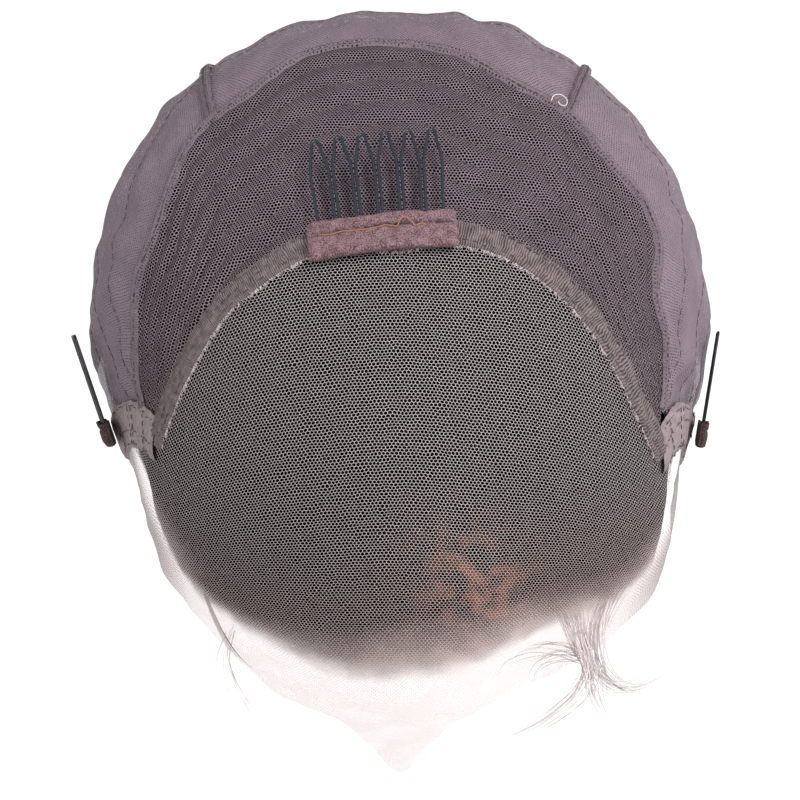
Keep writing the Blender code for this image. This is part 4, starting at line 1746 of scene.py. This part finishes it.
@dataclass(frozen=True)
class HairFall:
    """Locks that hang from inside the rim round the back and the sides."""

    long: float = 85.0
    locks: int = 13
    lock_high: float = 2.2
    start: float = 96.0
    full: float = 130.0
    overlap: float = 14.0
    depth: float = 6.3
    drawn_in: float = 0.10
    hidden: float = 0.25
    side_long: float = 0.35
    between: float = 0.12
    wall: float = 2.4
    per_lock: int = 240
    strand_points: int = 14
    columns: int = 234
    rows: int = 60

    def point(self, s: Array, w: Array, lift: Array) -> Array:
        """Points of the hanging hair.

        Args:
            s: Share of the way round the back.
            w: 0 inside the rim to 1 at the ends.
            lift: Distance out of the locks' surface.

        Returns:
            The points.
        """
        azimuth = -self.start - s * (360.0 - 2 * self.start)
        turned = wrapped(azimuth)
        rim = RIM(turned)
        fuller = ease(np.abs(turned), self.start, self.full)
        long = self.long * (self.side_long + (1 - self.side_long) * fuller)
        lock = np.abs(np.sin(np.pi * self.locks * s))
        out = np.minimum(w / self.hidden, 1.0)
        top = FORM.raised(polar(azimuth, rim - self.overlap * (1 - out)), lift - self.depth)
        fall = np.clip((w - self.hidden) / (1 - self.hidden), 0.0, None)
        swell = self.lock_high * lock * ease(fall, 0.0, 0.4)
        inward = 1 - self.drawn_in * fall + swell / FORM.half_width
        hung = top * np.stack([inward, inward, np.ones_like(fall)], axis=-1)
        hung[..., 2] -= fall * long * (1 - self.between * (1 - lock))
        return hung

    def strands_of(self, name: str, lift: tuple[float, float], seed: int) -> bpy.types.Object:
        """A layer of hairs gathered into the locks.

        Args:
            name: The piece's name.
            lift: Least and greatest distance out of the locks' surface.
            seed: Fixes the layer.

        Returns:
            The piece.
        """
        rng = np.random.default_rng(seed)
        count = self.locks * self.per_lock
        parts = np.linspace(0.0, 1.0, self.strand_points)
        lock = np.repeat(np.arange(self.locks), self.per_lock)[:, None]
        off = rng.uniform(-0.5, 0.5, (count, 1))
        gather = 1 - 0.45 * ease(parts, 0.35, 1.0)
        sway = 0.10 * np.sin(2 * np.pi * (parts * rng.uniform(0.4, 1.0, (count, 1))) + lock * 1.7)
        s = (lock + 0.5 + off * gather + sway * parts) / self.locks
        first = rng.uniform(0.02, 0.30, (count, 1))
        last = rng.uniform(0.84, 1.06, (count, 1))
        w = first + (last - first) * parts
        out = rng.uniform(*lift, (count, 1)) * (0.4 + parts) + 0.5 * np.sin(3 * parts + 9 * off)
        behind, paths, ahead = (
            self.point(np.clip(s + step, 0.002, 0.998), w, out) for step in (-0.01, 0.0, 0.01)
        )
        facing = unit(np.cross(unit(ahead - behind), np.gradient(paths, axis=1)))
        width = rng.uniform(0.35, 0.75, (count, 1))
        taper = np.minimum(1.0, np.minimum(6 * parts + 0.2, 4 * (1 - parts) + 0.05))
        return strands(name, paths, facing, width * taper, 1, HAIR.material(), seed)

    def build(self) -> list[bpy.types.Object]:
        """Makes the backing of the locks and the hairs on both of its faces."""
        s, w = lattice(self.columns, self.rows)
        points = self.point(s, w * 0.97, np.zeros_like(s))
        weave = np.stack([s * 300.0, w * 100.0], axis=-1)
        bed = cloth("hair_fall_locks", points, {"weave": weave}, HAIR_BED.material())
        wall = bed.modifiers.new("hair", "SOLIDIFY")
        wall.thickness = self.wall * MM
        wall.offset = -1
        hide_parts("hair_fall")
        outer = self.strands_of("hair_fall_outer_strands", (0.2, 1.6), 111)
        inner = self.strands_of("hair_fall_inner_strands", (-4.6, -2.6), 112)
        return [bed, outer, inner]


@dataclass(frozen=True)
class Tress:
    """A few hairs that follow one another: their middle line, number and spread."""

    line: Rows
    count: int
    spread: tuple[float, float]
    wide: float = 0.13

    def paths(self, rng: np.random.Generator, points: int = 24) -> tuple[Array, Array]:
        """Hairs round the middle line.

        Args:
            rng: Source of their scatter.
            points: Points of each hair.

        Returns:
            Paths and widths.
        """
        far = travelled(np.array(self.line))
        t = np.linspace(0.0, 1.0, points)
        last = rng.uniform(0.6, 1.0, (self.count, 1))
        middle = np.stack([c(t * last) for c in curves(self.line, far / far[-1])], axis=-1)
        away = rng.normal(0.0, 1.0, (self.count, 1, 3))
        bend = rng.normal(0.0, 0.6, (self.count, 1, 3)) * np.sin(2.5 * t)[:, None]
        spread = self.spread[0] + (self.spread[1] - self.spread[0]) * t
        paths = middle + (away + bend) * spread[:, None]
        widths = np.broadcast_to(self.wide * np.minimum(1.0, 3.0 * (1 - t) + 0.1), paths.shape[:2])
        return paths, widths


@dataclass(frozen=True)
class LooseEnds:
    """Stray hairs at the temples and loose ends of thread."""

    tresses: tuple[Tress, ...] = (
        Tress(((40.6, -73.1, 1.0), (44.4, -81.9, -4.0), (47.6, -87.4, -7.0), (45.1, -93.0, -10.0),
               (36.7, -99.0, -14.0), (26.6, -103.0, -17.0), (17.8, -106.0, -19.0)), 26, (1.6, 0.8)),
        Tress(((44.0, -72.0, 1.0), (46.4, -81.9, -4.0), (48.2, -86.6, -7.0), (49.2, -92.6, -11.0),
               (52.3, -97.7, -15.0), (56.0, -103.4, -19.0)), 30, (1.8, 0.9)),
        Tress(((54.1, -67.9, -1.0), (50.5, -75.9, -5.0), (49.9, -82.9, -8.0), (51.9, -88.1, -10.0),
               (56.5, -91.0, -12.0), (62.4, -90.1, -13.0), (66.9, -87.9, -13.0),
               (72.2, -86.3, -14.0)), 44, (1.5, 1.0)),
        Tress(((47.7, -86.1, -7.0), (43.0, -84.3, -7.0), (38.3, -84.0, -8.0), (33.0, -86.5, -10.0),
               (31.0, -90.4, -13.0)), 16, (1.0, 2.6), 0.16),
        Tress(((-42.8, -78.1, -5.0), (-44.6, -84.7, -10.0), (-40.8, -93.6, -15.0),
               (-35.2, -100.2, -19.0)), 7, (0.8, 2.6), 0.14),
        Tress(((-50.0, -70.0, 1.5), (-46.5, -77.0, -2.0), (-42.0, -83.5, -6.0),
               (-36.0, -89.0, -9.0)), 8, (0.3, 0.5), 0.16),
    )

    def hairs(self) -> bpy.types.Object:
        """Fine hairs that hang from the lace's edge at the temples."""
        rng = np.random.default_rng(121)
        made = [tress.paths(rng) for tress in self.tresses]
        paths, widths = (np.concatenate(parts) for parts in zip(*made))
        facing = np.broadcast_to([0.0, -0.6, 0.8], paths.shape)
        return strands("temple_hairs", paths, facing, widths, 1, LOOSE_HAIR.material())

    def thread(
        self, name: str, places: Rows, lift: float, wide: float, finish: StrandFinish
    ) -> bpy.types.Object:
        """A loose end of thread over a table of (side, back, height) rows."""
        keys = np.linspace(0, 1, len(places))
        side, back, height = (c(np.linspace(0, 1, 60)) for c in curves(places, keys))
        place = np.stack([side, back], axis=-1)
        path = FORM.raised(place, height + lift)
        return lone_thread(name, path, FORM.outward(place), wide, 6, finish.material())

    def build(self) -> list[bpy.types.Object]:
        """Makes the stray hairs and threads."""
        seam_loop = (
            (24.9, 16.4, 0.0), (25.3, 17.6, 0.7), (26.6, 18.0, 1.0), (27.6, 17.2, 0.8),
            (27.4, 16.2, 0.3), (26.4, 15.8, 0.6), (25.9, 16.2, 0.9),
        )
        return [
            self.hairs(),
            self.thread("seam_loose_thread", seam_loop, 1.3, 0.24, PALE_THREAD),
        ]


@dataclass(frozen=True)
class Studio:
    """Pale floor, soft light and the camera."""

    floor_drop: float = 0.75
    floor_reach: float = 9.0
    camera_from: tuple[float, float, float] = (0.0, -0.358, 0.5310)
    camera_at: tuple[float, float, float] = (0.0, -0.008, -0.0752)
    lens: float = 119.7
    shift_up: float = -0.0475
    lamps: tuple[tuple[str, tuple[float, float, float], float, float], ...] = (
        ("key", (0.6, -0.1, 1.35), 0.6, 25.0),
        ("fill", (-0.9, -0.8, 0.9), 0.9, 12.0),
        ("side", (1.4, -0.1, 0.1), 0.8, 10.0),
    )
    sky: float = 0.60

    def floor(self) -> None:
        """A wide pale floor far under the wig, which is held up at its crown."""
        data = bpy.data.meshes.new("floor")
        bm = bmesh.new()
        bmesh.ops.create_circle(bm, cap_ends=True, radius=self.floor_reach, segments=96)
        bmesh.ops.translate(bm, verts=bm.verts, vec=Vector((0.0, 0.0, -self.floor_drop)))
        bm.to_mesh(data)
        bm.free()
        shade = Shade("floor")
        data.materials.append(shade.finished({"Base Color": (0.84, 0.84, 0.84), "Roughness": 0.9}))
        made = bpy.data.objects.new("floor", data)
        bpy.context.scene.collection.objects.link(made)

    def lamp(self, name: str, place: Vector, size: float, watts: float) -> None:
        """A square soft lamp that faces the wig."""
        data = bpy.data.lights.new(name, "AREA")
        data.size = size
        data.energy = watts
        made = bpy.data.objects.new(name, data)
        made.location = place
        made.rotation_euler = (Vector(self.camera_at) - place).to_track_quat("-Z", "Y").to_euler()
        bpy.context.scene.collection.objects.link(made)

    def build(self) -> None:
        """Makes floor, light and camera."""
        scene = bpy.context.scene
        self.floor()
        for name, place, size, watts in self.lamps:
            self.lamp(name, Vector(place), size, watts)
        world = bpy.data.worlds.new("studio")
        world.use_nodes = True
        back = world.node_tree.nodes["Background"]
        back.inputs["Color"].default_value = (1.0, 1.0, 1.0, 1.0)
        back.inputs["Strength"].default_value = self.sky
        scene.world = world
        scene.view_settings.view_transform = "Standard"
        data = bpy.data.cameras.new("camera")
        data.lens = self.lens
        data.shift_y = self.shift_up
        data.clip_start = 0.01
        data.clip_end = 50.0
        camera = bpy.data.objects.new("camera", data)
        camera.location = self.camera_from
        aim = Vector(self.camera_at) - Vector(self.camera_from)
        camera.rotation_euler = aim.to_track_quat("-Z", "Y").to_euler()
        scene.collection.objects.link(camera)
        scene.camera = camera


def main() -> None:
    """Builds the wig from the inside out and reports each piece."""
    logging.basicConfig(level=logging.INFO, format="%(message)s")
    layers = (HairInside, Trim, CrownNet, OuterNet, LaceFront, Combs, HairFall, LooseEnds)
    for layer in layers:
        for made in layer().build():
            LOG.info("%s: %d faces", made.name, len(made.data.polygons))
    Studio().build()


if __name__ == "__main__":
    main()
